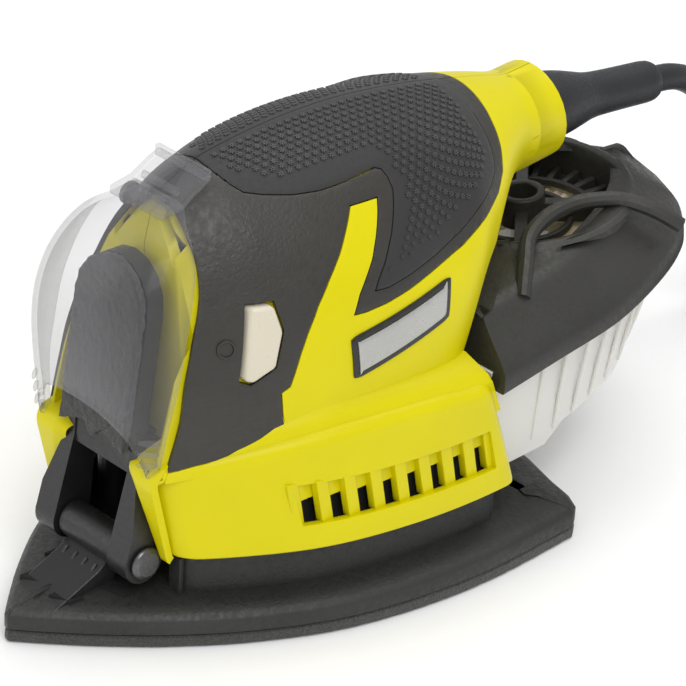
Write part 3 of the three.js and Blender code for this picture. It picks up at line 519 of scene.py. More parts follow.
def makeCamera():
    yaw, pitch = view["yaw"], view["pitch"]
    back = Vector((math.sin(yaw) * math.cos(pitch), -math.cos(yaw) * math.cos(pitch), math.sin(pitch)))
    right = Vector((0, 0, 1)).cross(back).normalized()
    up = back.cross(right)
    c, s = math.cos(view["roll"]), math.sin(view["roll"])
    turned = Matrix((right * c + up * s, up * c - right * s, back)).transposed().to_4x4()
    turned.translation = Vector(view["place"])
    data = bpy.data.cameras.new("camera")
    data.sensor_width = view["sensor"]
    data.lens = view["lens"]
    data.shift_x, data.shift_y = view["shift"]
    data.clip_end = view["far"]
    camera = bpy.data.objects.new("camera", data)
    camera.matrix_world = turned
    bpy.context.scene.collection.objects.link(camera)
    bpy.context.scene.camera = camera


def makeStudio():
    scene = bpy.context.scene
    scene.view_settings.view_transform = "Standard"
    scene.view_settings.look = "None"
    scene.view_settings.exposure = 0.0
    world = bpy.data.worlds.new("studio")
    scene.world = world
    world.use_nodes = True
    background = world.node_tree.nodes["Background"]
    background.inputs[0].default_value = (1, 1, 1, 1)
    background.inputs[1].default_value = 0.6


makeCamera()
makeStudio()
floorPlace = {"half": 3, "below": -0.0002}


def makeFloor():
    bm = bmesh.new()
    half = floorPlace["half"]
    for x, y in ((-half, -half), (half, -half), (half, half), (-half, half)):
        bm.verts.new((x, y, floorPlace["below"]))
    bm.faces.new(bm.verts)
    material, tree, shader, coords = newMaterial("paleFloor")
    grain = noiseNode(tree, coords, 60, 2)
    tint = ramp(tree, grain.outputs["Fac"], [(0.0, (0.93, 0.93, 0.93)), (1.0, (0.95, 0.95, 0.95))])
    tree.links.new(tint.outputs[0], shader.inputs["Base Color"])
    shader.inputs["Roughness"].default_value = 0.8
    shader.inputs["Specular IOR Level"].default_value = 0.1
    floor = toObject(bm, "floor", material, None, smooth=False)


makeFloor()


# Each lamp is a soft rectangle with its place, its aim and its size in metres and its power in watts.
def softLight(name, place, aim, size, power):
    data = bpy.data.lights.new(name, "AREA")
    data.shape = "RECTANGLE"
    data.size, data.size_y = size
    data.energy = power
    lamp = bpy.data.objects.new(name, data)
    lamp.location = place
    lamp.rotation_euler = (Vector(aim) - Vector(place)).to_track_quat("-Z", "Y").to_euler()
    bpy.context.scene.collection.objects.link(lamp)


softLight("keyLight", (0.9, -0.55, 1.25), (0, -0.02, 0.05), (0.9, 0.9), 11)
softLight("fillLight", (-0.9, -1.0, 0.6), (0, -0.05, 0.06), (1.0, 1.0), 3.5)
softLight("topLight", (-0.1, 0.4, 1.4), (0, 0, 0.06), (1.2, 1.2), 8)
print("stage done")

# The cord drops to the floor, lies in a tied coil and ends in a plug on top of it.
cordRoute = [
    (0, 104.2, 87.9), (-0.1, 111.2, 86.9), (-0.5, 117.7, 84.2), (-1.1, 123.4, 80), (-1.9, 127.9, 74.6),
    (-2.8, 131, 68.3), (-3.9, 133.2, 61.5), (-5.1, 135.3, 54.8), (-6.5, 137.5, 48.1),
    (-7.9, 139.7, 41.4), (-9.3, 141.9, 34.6), (-10.8, 144.6, 28.1), (-12.3, 148.3, 22.1),
    (-13.8, 152.9, 16.7), (-15.3, 158.2, 12.1), (-16.7, 164.3, 8.4), (-18, 170.8, 5.7),
    (-19.2, 177.6, 4.1)]
tailRoute = [
    (51.4, 164.7, 18.1), (46.5, 160.7, 18.3), (41, 157.5, 19), (35, 155.3, 20), (28.7, 154.2, 21.3),
    (22.4, 154.1, 22.8), (16.2, 155.3, 24.4), (10.3, 157.8, 26), (5.2, 161.5, 27.5), (0.9, 166.2, 28.8),
    (-2.3, 171.7, 29.8), (-4.3, 177.7, 30.3), (-5, 184, 30.5)]
coil = {"centre": (25, 192), "outer": 45.3, "inner": 38, "floor": 3.6, "rise": 7.25, "start": 188, "end": 2390,
        "step": 9}
cordRadius = 3.5


# The coil goes round by u degrees: inwards lane by lane, up a layer, outwards again, then up and in.
def coilPoint(u):
    inward = ease(u, 240, 360) + ease(u, 600, 720)
    outward = ease(u, 1248, 1368) + ease(u, 1608, 1728)
    last = ease(u, 2256, 2376)
    radius = coil["outer"] - (coil["outer"] - coil["inner"]) * (inward - outward + last)
    z = coil["floor"] + coil["rise"] * (ease(u, 924, 1044) + ease(u, 1932, 2052))
    angle = math.radians(coil["start"] - u)
    x, y = coil["centre"]
    return (x + radius * math.cos(angle), y + radius * math.sin(angle), z)


def smoothPath(points, step=1.6):
    out = []
    for i in range(len(points) - 1):
        p0, p1 = Vector(points[max(i - 1, 0)]), Vector(points[i])
        p2, p3 = Vector(points[i + 1]), Vector(points[min(i + 2, len(points) - 1)])
        count = max(int((p2 - p1).length / step), 1)
        for k in range(count):
            t = k / count
            out.append(0.5 * ((2 * p1) + (p2 - p0) * t + (2 * p0 - 5 * p1 + 4 * p2 - p3) * t * t
                              + (3 * p1 - p0 - 3 * p2 + p3) * t ** 3))
    out.append(Vector(points[-1]))
    return out


def tube(path, radius, sides=12):
    rows = []
    side = Vector((1, 0, 0))
    for i, p in enumerate(path):
        along = (path[min(i + 1, len(path) - 1)] - path[max(i - 1, 0)]).normalized()
        side = (side - along * side.dot(along)).normalized()
        up = along.cross(side)
        rows.append([p + (side * math.cos(2 * pi * k / sides) + up * math.sin(2 * pi * k / sides)) * radius
                     for k in range(sides)])
    bm, verts = gridMesh(rows, closedColumns=True)
    bm.faces.new(verts[0])
    bm.faces.new(list(reversed(verts[-1])))
    return bm


def makeCord():
    turns = [coilPoint(u) for u in range(4, coil["end"], coil["step"])]
    path = smoothPath(cordRoute + turns + tailRoute[1:])
    standsFor = ("cord", "cord_coil", "cord_tail")
    piece = toObject(tube(path, cordRadius), "cordLead", rubberBlack, "housing", standsFor)
    length = sum((b - a).length for a, b in zip(path, path[1:])) * mm
    print("cord length", round(length, 3))
    return piece, path, length


cordPiece, cordPath, cordLength = makeCord()


# A built part with its own shape, a finish and softer edges.
def finished(node, name, material, rides, bevel, change=None):
    bm = copyOf(node)
    if change:
        change(bm)
    piece = toObject(bm, name, material, rides, (node,))
    if bevel:
        softened(piece, bevel)
    return piece


plugBody = finished("plug", "plugBody", rubberBlack, "housing", 0.9)
pinPieces = [finished(f"plug_pin_{side}", f"plugPin_{side}", brass, "housing", 0.2)
             for side in ("left", "right")]
tiePiece = finished("coil_tie", "coilTie", blackSmooth, "housing", 0.4)

# The sleeve droops about a pivot inside the collar, and the cord leaves at its tip.
sleeve = {"pivot": Vector((0, 52, 92.5)), "droop": 5, "shoulder": 58.4, "tip": 103.5}
sleeveTurn = Matrix.Rotation(math.radians(-sleeve["droop"]), 3, "X")


def makeBoot():
    profile = through([(58.4, 8.5), (60.4, 8.75), (64, 8.9), (69, 8.3), (74.5, 7.1), (79, 6.1), (84, 5.7),
                       (101, 5.45)])
    points = [(0, 47.2), (7.6, 47.2), (8, 47.8), (8, 58)]
    along = [sleeve["shoulder"] + k * 1.5 for k in range(29)]
    points += [(profile(y), y) for y in along]
    points += [(5.3, 102), (4.95, 102.9), (4.3, 103.3), (3.9, 103.3), (3.8, 102.4), (0, 102.4)]
    local = [(r, y - sleeve["pivot"].y) for r, y in points]
    bm = lathe(local, 48, "Y", sleeve["pivot"], sleeveTurn)
    return toObject(bm, "bootSleeve", rubberBlack, "housing", ("cord_boot",))


boot = makeBoot()
print("cord done")

# The upper housing: the dark shell and the grip are let into the lime band.
frontLine = through([
    (40, -75.6), (45.3, -74.9), (52, -73.1), (57, -71.8), (65, -70.3), (72, -68.2), (76.5, -66.7),
    (81, -64.9), (85.4, -63.4), (91.4, -62.2), (97, -61.8), (104, -61.4), (114, -61.2)])
shellLoop = [
    (-90, 44.4), (-75.6, 44.6), (-69, 45.7), (-58, 46.9), (-47.4, 48.2), (-48.2, 52), (-48.9, 55.7),
    (-49.2, 61.4), (-47.1, 62.6), (-44.1, 70.4), (-42, 74.7), (-38.4, 80.6), (-34.4, 85.6),
    (-30.4, 90.1), (-27.1, 94.5), (-23.5, 99.1), (-15.6, 99.2), (-16.8, 96.8), (-19.5, 92), (-22, 87.8),
    (-24.9, 84.2), (-27.5, 80.9), (-29.8, 76.6), (-26.5, 76.6), (-20.2, 77.3), (-13.4, 78.6),
    (-4.4, 80.9), (5, 83.5), (13, 87.2), (21.8, 90.4), (25.9, 93.8), (28.5, 98.5), (29.7, 102.8),
    (31.8, 107.7), (32.6, 130), (-90, 130)]
gripLoop = [
    (-50.6, 112), (-50.3, 109.4), (-49.7, 108.3), (-48.2, 106.3), (-46.4, 104.8), (-42.6, 104),
    (-36, 103.2), (-29.5, 103), (-23.3, 103.3), (-16.6, 103.9), (-12.6, 104.2), (-10.9, 103.6),
    (-10.3, 102), (-10.4, 99.7), (-12.1, 96.6), (-15.2, 91.4), (-19, 86.2), (-21.8, 83), (-23.2, 80.8),
    (-19.5, 80.7), (-12.6, 81.9), (-3.6, 83.9), (5.1, 86.7), (13.4, 91), (19.5, 93.6), (22.1, 95.2),
    (24.1, 98.6), (24.8, 102.6), (25.6, 106.3), (26.2, 108.5), (27.5, 130), (-52, 130)]


# Height shares that lie evenly spaced round a section, so that the grid's cells stay square.
def sectionSteps(a, count):
    parts = 800
    fine = [k / parts for k in range(parts + 1)]
    points = [bodyPoint(a, h) for h in fine]
    lengths = [0]
    for p, q in zip(points, points[1:]):
        lengths.append(lengths[-1] + math.hypot(q.x - p.x, q.z - p.z))
    steps = []
    j = 0
    for k in range(count + 1):
        want = lengths[-1] * k / count
        while j < parts - 1 and lengths[j + 1] < want:
            j += 1
        share = (want - lengths[j]) / max(lengths[j + 1] - lengths[j], 1e-9)
        steps.append(fine[j] + share / parts)
    return steps


bodySteps = sectionSteps(-18, 92)
# the two halves of every outer part stop this far from the middle
seamHalf = 0.12


def bodyRows(inset):
    y0, y1 = body["front"], body["back"]
    count = int((y1 - y0) / body["step"])
    rows = []
    for i in range(count + 1):
        a = y0 + (y1 - y0) * i / count
        row = [bodyPoint(a, h, inset) for h in bodySteps]
        for p in row:
            p.x = max(p.x, seamHalf)
        rows.append(row)
    return rows


# Puts a border point back on the surface. Near the flat top it keeps its place across instead.
def onBody(inset):
    def project(y, z, before):
        if before.z > bodyTop(before.y) - inset - 4:
            h = bodyParams(before.y, before.z + inset)[1]
            a = y
            for _ in range(12):
                a = y - leanBack(a, h)
            q = bodyPoint(a, h, inset)
            return Vector((before.x if h > 0.995 else max(q.x, seamHalf), y, q.z))
        q = bodyAt(y, z, inset)
        return Vector((max(q.x, seamHalf), y, z))
    return project


# Cuts the surface off along the front line, behind the clear cover.
def trimmedFront(bm):
    centres = [(face, face.calc_center_median() / mm) for face in bm.faces]
    doomed = [face for face, p in centres if p.y < frontLine(p.z)]
    bmesh.ops.delete(bm, geom=doomed, context="FACES")
    for v in bm.verts:
        p = v.co / mm
        edge = frontLine(p.z)
        if v.is_boundary and abs(p.y - edge) < 1.3 and p.z > 44:
            q = bodyAt(edge, p.z)
            v.co = Vector((max(q.x, seamHalf), edge, q.z)) * mm
    cleaned(bm, 0.05)


# Makes one region of the outer surface, on both sides, as shells that stand proud by minus the inset.
def bodyPatch(name, keep, borders, material, replaced, wall, inset=0):
    bm = cutPatch(bodyRows(inset), keep, borders, onBody(inset))
    trimmedFront(bm)
    for side, half in (("right", bm), ("left", mirrored(bm))):
        nodes = tuple(f"{node}_{side}" for node in replaced)
        piece = toObject(half, f"{name}_{side}", material, "housing", nodes, core=(0, None, 72))
        thicken(piece, wall, 0.35, 2, 50)


# Neighbouring regions stop short of their shared line by this much, which leaves a fine seam.
lineGap = 0.14
shellIn, shellOut = offset(shellLoop, lineGap), offset(shellLoop, -lineGap)
gripIn, gripOut = offset(gripLoop, lineGap), offset(gripLoop, -lineGap)
button = {"loop": [(-54.1, 82.3), (-49, 82.4), (-48.1, 76.4), (-50.7, 68.3), (-56.1, 65.2), (-57.7, 65.9)],
          "room": 0.8, "proud": 1.2, "travel": 3.0, "edge": 1.1}
buttonRoom = offset(button["loop"], -button["room"])
badge = {"loop": rounded([(-31.6, 71.5), (-0.2, 78.3), (-1.8, 68.3), (-31, 60.9)], 2, 0.05), "rim": 1.5}
badgePlate = offset(badge["loop"], badge["rim"])


def within(loop):
    return lambda p: inside((p.y, p.z), loop)


def inShell(p):
    onSide = p.x > 5
    at = (p.y, p.z)
    return inside(at, shellIn) and not inside(at, gripOut) and not (inside(at, buttonRoom) and onSide)


def inBand(p):
    return not inside((p.y, p.z), shellOut) and p.z > 42


bodyPatch("frontShell", inShell, [shellIn, gripOut, buttonRoom], darkShell, ("front_shell",), 1.5)
bodyPatch("grip", within(gripIn), [gripIn], gripRubber, ("grip",), 1.3, -0.15)
bodyPatch("bandShell", inBand, [shellOut], lime, (), 1.5)
bodyPatch("badgeFrame", within(badge["loop"]), [badge["loop"]], badgeBlack, (), 1.2, -0.5)
bodyPatch("badgePlate", within(badgePlate), [badgePlate], silver, ("badge",), 0.8, -0.85)
print("upper housing done")


# One bar passes through the tool, so what stands proud on one side is pushed in on the other.
def makeButton():
    bm = bmesh.new()
    buttonLoop = button["loop"]
    proud, pushed = button["proud"], button["travel"] - 1.0
    surface = [bodyAt(y, z).x for y, z in buttonLoop]
    left = [bm.verts.new(Vector((pushed - x, y, z)) * mm) for x, (y, z) in zip(surface, buttonLoop)]
    right = [bm.verts.new(Vector((x + proud, y, z)) * mm) for x, (y, z) in zip(surface, buttonLoop)]
    count = len(buttonLoop)
    for i in range(count):
        bm.faces.new((left[i], left[(i + 1) % count], right[(i + 1) % count], right[i]))
    bm.faces.new(list(reversed(left)))
    bm.faces.new(right)
    piece = toObject(bm, "switchButton", cream, "switch", ("switch_bar",))
    softened(piece, button["edge"], 4, 25)


# A small moulded ring on the side of the shell, turned to lie flat on it.
def makeRing():
    y, z = -60.4, 73.4
    place = bodyAt(y, z)
    out = (bodyAt(y + 1, z) - place).cross(bodyAt(y, z + 1) - place).normalized()
    turn = Vector((0, 0, 1)).rotation_difference(out).to_matrix()
    section = [(1.5, -0.4), (2.5, -0.4), (2.25, 0.45), (1.75, 0.45), (1.5, -0.4)]
    toObject(lathe(section, 32, "Z", place, turn), "shellRing", darkShell, "housing", ())


makeButton()
makeRing()
# The grip is covered in small stars of three crossed bars. They shrink towards its lower edge.
star = {"pitch": 3.0, "rowShare": 0.62, "border": 3.6, "first": -62, "last": 30, "proud": -0.15,
        "turns": (20, 80, 140), "long": 0.82, "wide": 0.21, "sunk": 0.1, "high": 0.34}
corners = ((-1, -1), (1, -1), (1, 1), (-1, 1))


def starRows():
    rows = []
    around = 0.0
    previous = bodyPoint(-14, 0)
    for h in [k / 1500 for k in range(1, 1500)]:
        p = bodyPoint(-14, h)
        around += math.hypot(p.x - previous.x, p.z - previous.z)
        previous = p
        if around >= star["pitch"] * star["rowShare"]:
            around = 0
            rows.append(h)
    return rows


def addStar(bm, a, h):
    p = bodyPoint(a, h, star["proud"])
    back = (bodyPoint(a + 0.5, h, star["proud"]) - p).normalized()
    rise = bodyPoint(a, min(h + 0.004, 1), star["proud"]) - p
    rise = (rise - back * rise.dot(back)).normalized()
    out = back.cross(rise)
    if out.x < 0:
        out = -out
    fade = 1 - 0.55 * ease(-p.z, -97, -84)
    for turn in star["turns"]:
        c, s = math.cos(math.radians(turn)), math.sin(math.radians(turn))
        long = (back * c + rise * s) * star["long"] * fade
        wide = (rise * c - back * s) * star["wide"]
        foot, top = p - out * star["sunk"], p + out * star["high"]
        low = [bm.verts.new((foot + long * i + wide * j) * mm) for i, j in corners]
        high = [bm.verts.new((top + long * 0.92 * i + wide * 0.7 * j) * mm) for i, j in corners]
        bm.faces.new(high)
        for k in range(4):
            bm.faces.new((low[k], low[(k + 1) % 4], high[(k + 1) % 4], high[k]))
        bm.faces.new(list(reversed(low)))


def makeMarks():
    bm = bmesh.new()
    allowed = offset(gripLoop, star["border"])
    for row, h in enumerate(starRows(), 1):
        a = star["first"] + (row % 2) * star["pitch"] * 0.5
        while a < star["last"]:
            p = bodyPoint(a, h, star["proud"])
            if inside((p.y, p.z), allowed) and p.x > 1.2:
                addStar(bm, a, h)
            a += star["pitch"]
    return bm


marks = makeMarks()
toObject(mirrored(marks), "gripMarks_left", gripMark, "housing", (), smooth=False)
toObject(marks, "gripMarks_right", gripMark, "housing", (), smooth=False)
print("grip marks done")

# The skirt flares out over the plate and is open at the nose, where the finger folds down.
skirtTop = through([(-78, 43.8), (-60, 47.5), (-45, 50), (-25, 52), (0, 52), (10, 51)])
skirt = {"front": -78, "rear": 17, "low": 20.9, "shoulder": 3.2, "corner": 4.5, "mouthHalf": 21.4,
         "wall": 1.9}
vent = {"y0": -46.5, "y1": 8.5, "z0": 27.6, "z1": 38.6, "lean": 2.6, "count": 8, "overlap": 0.6}


def skirtWidth(y):
    return plateWidth(y) - 5 - 0.9 * ease(-y, 40, 75)


def skirtX(y, z):
    return skirtWidth(y) - (z - skirt["low"]) * 0.05


def skirtFront(z):
    return skirt["front"] + 5.6 - (z - skirt["low"]) * 0.25


def skirtRear(z):
    return skirt["rear"] + 0.4 - (z - skirt["low"]) * 0.32


def skirtPath():
    front = [("front", k / 8) for k in range(8)]
    side = [("side", k / 96) for k in range(97)]
    rear = [("rear", k / 12) for k in range(1, 13)]
    return front + side + rear


# A level is a share of the skirt's height, a rise above that and an inset.
def skirtPoint(kind, t, level, shrink):
    share, lift, inset = level
    inset += shrink
    y = {"front": skirt["front"], "side": mix(skirt["front"], skirt["rear"], t), "rear": skirt["rear"]}[kind]
    z = share * (skirtTop(y) - skirt["shoulder"] - skirt["low"]) + skirt["low"] + lift
    y0, y1 = skirtFront(z) + inset * 0.7, skirtRear(z) - inset * 0.5
    corner = skirt["corner"]
    if kind == "side":
        y = mix(y0, y1, t)
        x = skirtX(y, z) - inset
        near = min(y - y0, y1 - y)
        if near < corner:
            x -= corner - math.sqrt(max(corner * corner - (corner - near) ** 2, 0))
        return Vector((x, y, z))
    if kind == "front":
        xEdge = skirtX(y0, z) - inset - corner
        return Vector((mix(skirt["mouthHalf"], xEdge, t), y0, z))
    xEdge = skirtX(y1, z) - inset - corner
    return Vector((mix(xEdge, seamHalf, t), y1, z))


def skirtLevels():
    levels = [(0, 0, 0.5), (0, 0.35, 0.08), (0, 0.9, 0)]
    levels += [(k / 24, 0.9 * (1 - k / 24), 0) for k in range(1, 25)]
    for k in range(1, 7):
        angle = math.radians(14 * k)
        levels.append((1, skirt["shoulder"] * math.sin(angle), 3.0 * (1 - math.cos(angle))))
    levels += [(1, 3.5, 4.5), (1, 4.0, 7), (1, 4.6, 10), (1, 5.4, 14)]
    return levels


def ventLoop():
    y0, y1, z0, z1, lean = vent["y0"], vent["y1"], vent["z0"], vent["z1"], vent["lean"]
    return [(y0, z0), (y1, z0), (y1 - lean, z1), (y0 - lean, z1)]


def makeSkirt():
    levels = skirtLevels()
    rows = [[skirtPoint(kind, t, level, 0) for level in levels] for kind, t in skirtPath()]
    loop = ventLoop()
    sideX = 28

    def keep(p):
        return not (inside((p.y, p.z), loop) and p.x > sideX)

    def project(y, z, before):
        return Vector((skirtX(y, z), y, z)) if before.x > sideX else before
    bm = cutPatch(rows, keep, [loop], project, 1.2)
    for side, half in (("right", bm), ("left", mirrored(bm))):
        piece = toObject(half, f"skirt_{side}", lime, "housing", (), core=(0, -28, 30))
        thicken(piece, skirt["wall"], 0.4, 3, 45)


# Slanting blades stand in the vent, tongues close half of each gap, and a near-black wall behind them is painted shade
# for the dark inside of the skirt.
def makeVents():
    y0, y1, z0, z1, lean = vent["y0"], vent["y1"], vent["z0"], vent["z1"], vent["lean"]
    overlap = vent["overlap"]
    low, mid, high = z0 - overlap, (z0 + z1) / 2 + overlap, z1 + overlap
    pitch = (y1 - y0) / vent["count"]
    blades, shadeWall = bmesh.new(), bmesh.new()
    for side in (1, -1):
        for i in range(vent["count"] + 1):
            y = y0 + i * pitch
            half = pitch * 0.25
            x = skirtX(y, 33)
            loop = [(y - half, low), (y + half, low), (y + half - lean, high), (y - half - lean, high)]
            prism(loop, side * (x - 1.0), side * (x - 3.6), "X", blades)
        for i in range(vent["count"]):
            y = y0 + (i + 0.5) * pitch
            x = skirtX(y, 33)
            half = pitch * 0.34
            loop = [(y - half - lean / 2, mid), (y + half - lean / 2, mid), (y + half - lean, high),
                    (y - half - lean, high)]
            prism(loop, side * (x - 2.5), side * (x - 3.5), "X", blades)
        walls = 10
        for i in range(walls):
            ya = mix(y0 - 5, y1 + 3, i / walls)
            yb = mix(y0 - 5, y1 + 3, (i + 1) / walls)
            x = min(skirtX(ya, 33), skirtX(yb, 33))
            prism([(ya, 24), (yb, 24), (yb, 42), (ya, 42)], side * (x - 4.2), side * (x - 5.2), "X", shadeWall)
    softened(toObject(blades, "ventBlades", lime, "housing", ()), 0.25)
    toObject(shadeWall, "ventShadeWall", carbonAndPaintedShade, "housing", (), smooth=False)


makeSkirt()
makeVents()
print("skirt done")


# The inner housing keeps its collar and its channel for the finger, and stays clear of the outer shells.
core = {"floor": 42, "axis": 72, "near": 1.6, "sink": 2.3}


def shrunkCore(bm):
    for v in bm.verts:
        p = v.co / mm
        if p.z > 40 and p.y < 49:
            gap = bodyAt(min(max(p.y, -80), 50), p.z).x - abs(p.x)
            if gap < core["near"] and p.y > frontLine(p.z) - 0.5:
                away = Vector((p.x, 0, p.z - core["axis"])).normalized()
                v.co = (p - away * (core["sink"] - max(gap, 0) * 0.5)) * mm
    geometry = bm.verts[:] + bm.edges[:] + bm.faces[:]
    cut = bmesh.ops.bisect_plane(bm, geom=geometry, plane_co=(0, 0, core["floor"] * mm), plane_no=(0, 0, 1),
                                 clear_inner=True)
    edges = [e for e in cut["geom_cut"] if isinstance(e, bmesh.types.BMEdge)]
    bmesh.ops.holes_fill(bm, edges=edges)


for side in ("left", "right"):
    finished(f"housing_{side}", f"housingCore_{side}", lime, "housing", 0, shrunkCore)
print("core done")

coverWidth = through([
    (44, 20.6), (52, 22), (62, 23.2), (74, 23.4), (84, 22.4), (92, 20.4), (98, 17), (101.5, 12),
    (104, 9)])
coverBack = through([
    (44, -76.6), (57, -75.6), (67, -73.6), (78, -71.4), (86, -69), (93, -66.6), (99, -64.6), (104, -61)])
coverFront = through([
    (44, -83.6), (53, -84.2), (60, -85.4), (70, -87), (80, -87), (88, -85), (94, -81.2), (99, -75.5),
    (104, -68.5)])
cover = {"low": 44, "high": 104, "rows": 60, "columns": 72, "wall": 1.4, "tabRise": 2.2, "tabHalf": 9.4,
         "archHalf": 19.6, "archTop": 59}


def coverPoint(z, angle, proud=0.0):
    c, s = math.cos(angle), math.sin(angle)
    depth = coverBack(z) - coverFront(z)
    across = math.copysign(abs(c) ** 0.75, c) * (coverWidth(z) + proud)
    return Vector((across, coverBack(z) - max(s, 0) ** 0.8 * (depth + proud), z))


def archHeight(x):
    t = min(abs(x) / cover["archHalf"], 1)
    return cover["low"] + (cover["archTop"] - cover["low"]) * (1 - t ** 2.6) ** 0.55


def coverRow(z):
    return [coverPoint(z, pi * k / cover["columns"]) for k in range(cover["columns"] + 1)]


# The cover is a tall bowl with an arch cut out of its foot, for the finger.
def makeCoverShell():
    rows = [coverRow(mix(cover["low"], cover["high"], i / cover["rows"])) for i in range(cover["rows"] + 1)]
    crown = Vector((0, -61.5, cover["high"]))
    for lift, pull in ((0.5, 0.12), (0.8, 0.35), (0.9, 0.7)):
        rows.append([p.lerp(crown, pull) + Vector((0, 0, lift)) for p in coverRow(cover["high"])])
    bm, _ = gridMesh(rows)
    centres = [(face, face.calc_center_median() / mm) for face in bm.faces]
    doomed = [face for face, p in centres if p.y < coverBack(p.z) - 3.2 and p.z < archHeight(p.x)]
    bmesh.ops.delete(bm, geom=doomed, context="FACES")
    for v in bm.verts:
        p = v.co / mm
        inArch = p.z < cover["archTop"] + 1 and p.y < coverBack(p.z) - 2.6 and abs(p.x) < cover["archHalf"]
        if v.is_boundary and inArch:
            z = archHeight(p.x)
            if abs(z - p.z) < 2.4:
                v.co.z = z * mm
    cleaned(bm, 0.03)
    piece = toObject(bm, "coverShell", smoke, "cover", ("clear_cover",), core=(0, -68, 75))
    thicken(piece, cover["wall"], 0.3, 2, 50)


# The thumb tab has two grip ridges and a lip.
def makeCoverTab():
    half = cover["tabHalf"]
    tab = prism([(-68, 102.4), (-62, 103.6), (-56.8, 106.6), (-53.4, 108), (-53.4, 106.4), (-57, 104.4),
                 (-61.4, 101.4), (-68, 100.2)], -half, half)
    for y, z in ((-63.5, 103.2), (-60.6, 104.4)):
        prism([(y - 0.7, z - 1), (y + 0.7, z - 0.6), (y + 0.4, z + 0.9), (y - 0.3, z + 0.7)], -6.5, 6.5, "X", tab)
    prism([(-54.8, 106.2), (-53.3, 106.8), (-53.3, 109.1), (-54.6, 109)], -half, half, "X", tab)
    bmesh.ops.translate(tab, verts=tab.verts, vec=(0, 0, cover["tabRise"] * mm))
    softened(toObject(tab, "coverTab", smoke, "cover", ()), 0.35)


# Three small ribs stand on each side of the foot, one above the other.
def makeCoverRibs():
    ribs = bmesh.new()
    for side in (1, -1):
        for k in range(3):
            z = 48 + k * 3.1
            angle = pi / 2 - side * 1.16
            centre = coverPoint(z, angle, 0.35)
            along = coverPoint(z, angle + 0.05) - coverPoint(z, angle - 0.05)
            turn = Matrix.Rotation(math.atan2(along.y, along.x), 4, "Z")
            place = Matrix.Translation(centre * mm) @ turn @ Matrix.Diagonal((2.6, 0.6, 0.8, 1))
            bmesh.ops.create_uvsphere(ribs, u_segments=16, v_segments=8, radius=1.0 * mm, matrix=place)
    toObject(ribs, "coverRibs", smoke, "cover", ())


makeCoverShell()
makeCoverTab()
makeCoverRibs()
print("cover done")

plate = {"steps": 120, "rear": 46, "corner": 33, "pocketX": (2.8, 8.2), "rimInset": 4.2, "rimWall": 1.2,
         "rimLevels": (9.3, 12, 15, 18, 19.6)}


# The plate's outline: the nose and the sides follow its width, and the rear is a shallow bow.
def plateRing(inset, z):
    ring = []
    rear = [(49.6, 33.8), (47.4, 36.6), (43, 38.8), (35.5, 40.4), (24, 43.8), (16, 45.3), (8, plate["rear"]),
            (0, plate["rear"])]
    for k in range(plate["steps"] + 1):
        y = mix(noseY, plate["corner"], (k / plate["steps"]) ** 1.25)
        ring.append(Vector((max(plateWidth(y), 0.01), y, 0)))
    ring += [Vector((x, y, 0)) for x, y in rear]
    out = []
    for i, p in enumerate(ring):
        a, b = ring[max(i - 1, 0)], ring[min(i + 1, len(ring) - 1)]
        along = (b - a).normalized()
        normal = Vector((-along.y, along.x, 0))
        q = p + normal * inset
        if i == 0:
            q = p + Vector((0, 1, 0)) * inset * 1.3
        if i == len(ring) - 1:
            q = p - Vector((0, 1, 0)) * inset
        q.x = max(q.x, 0)
        out.append(Vector((q.x, q.y, z)))
    return out + [Vector((-p.x, p.y, p.z)) for p in reversed(out[1:-1])]


def stacked(rings, weld):
    bm, verts = gridMesh(rings, closedColumns=True)
    for ring in (verts[0], verts[-1]):
        bm.faces.new(ring)
    cleaned(bm, weld)
    bmesh.ops.triangulate(bm, faces=[f for f in bm.faces if len(f.verts) > 4])
    return bm


def makePlate():
    levels = [(0.7, 3.3), (0.15, 3.5), (0, 3.9), (0, 7.0), (0.3, 7.5), (1.2, 8.3), (1.8, 8.7), (4.5, 9.3),
              (9, 10.1), (13, 10.8)]
    bm = stacked([plateRing(inset, z) for inset, z in levels], 0.05)
    toObject(bm, "basePlate", blackPlate, "pad", ("base_plate",))


# At the nose a ribbed ramp carries the barrel that the finger's pin runs through.
def makeRamp():
    bm = prism([(-97, 8.2), (-80, 8.2), (-76.5, 14.6), (-78.2, 18), (-83.5, 14.4), (-91, 11)], -7.5, 7.5)
    for x in (-5.4, -1.8, 1.8, 5.4):
        prism([(-94, 9.6), (-86, 12.4), (-82.5, 15.8), (-82.2, 14), (-86, 11)], x - 0.5, x + 0.5, "X", bm)
    section = [(0, -9.6), (4.2, -9.6), (4.6, -9.2), (4.6, 9.2), (4.2, 9.6), (0, 9.6)]
    barrel = lathe(section, 40, "X", (0, -77.5, 19.5))
    softened(toObject(joined(bm, barrel), "plateRamp", blackSmooth, "pad", ()), 0.35)


# Near-black blocks sunk in the plate's nose are painted shade: they stand for the dark inside of its pocket recesses.
def makePocketShade():
    pocketShade = bmesh.new()
    for side in (1, -1):
        x0, x1 = sorted(side * x for x in plate["pocketX"])
        prism([(x0, -94.5), (x1, -92.5), (x1 + 0.6 * side, -88.8), (x0, -90.5)], 7.4, 10.2, "Z", pocketShade)
        prism([(x0 + side * 4, -84), (x1 + side * 6, -81), (x1 + side * 6, -78), (x0 + side * 4, -80)], 7.4, 10.5,
              "Z", pocketShade)
    toObject(pocketShade, "platePocketShade", carbonAndPaintedShade, "pad", (), smooth=False)


# The plate's upright rim stands just inside the skirt.
def makeRim():
    rows = []
    for kind, t in skirtPath():
        foot = skirtPoint(kind, t, (0, 0, 0), plate["rimInset"])
        y = foot.y + 0.5 if kind == "front" else foot.y
        rows.append([Vector((max(foot.x, 0), y, z)) for z in plate["rimLevels"]])
    bm, _ = gridMesh(rows)
    bm = joined(bm, mirrored(bm))
    cleaned(bm, 0.05)
    rim = toObject(bm, "plateUpstand", blackPlate, "pad", (), core=(0, -28, 15))
    thicken(rim, plate["rimWall"])


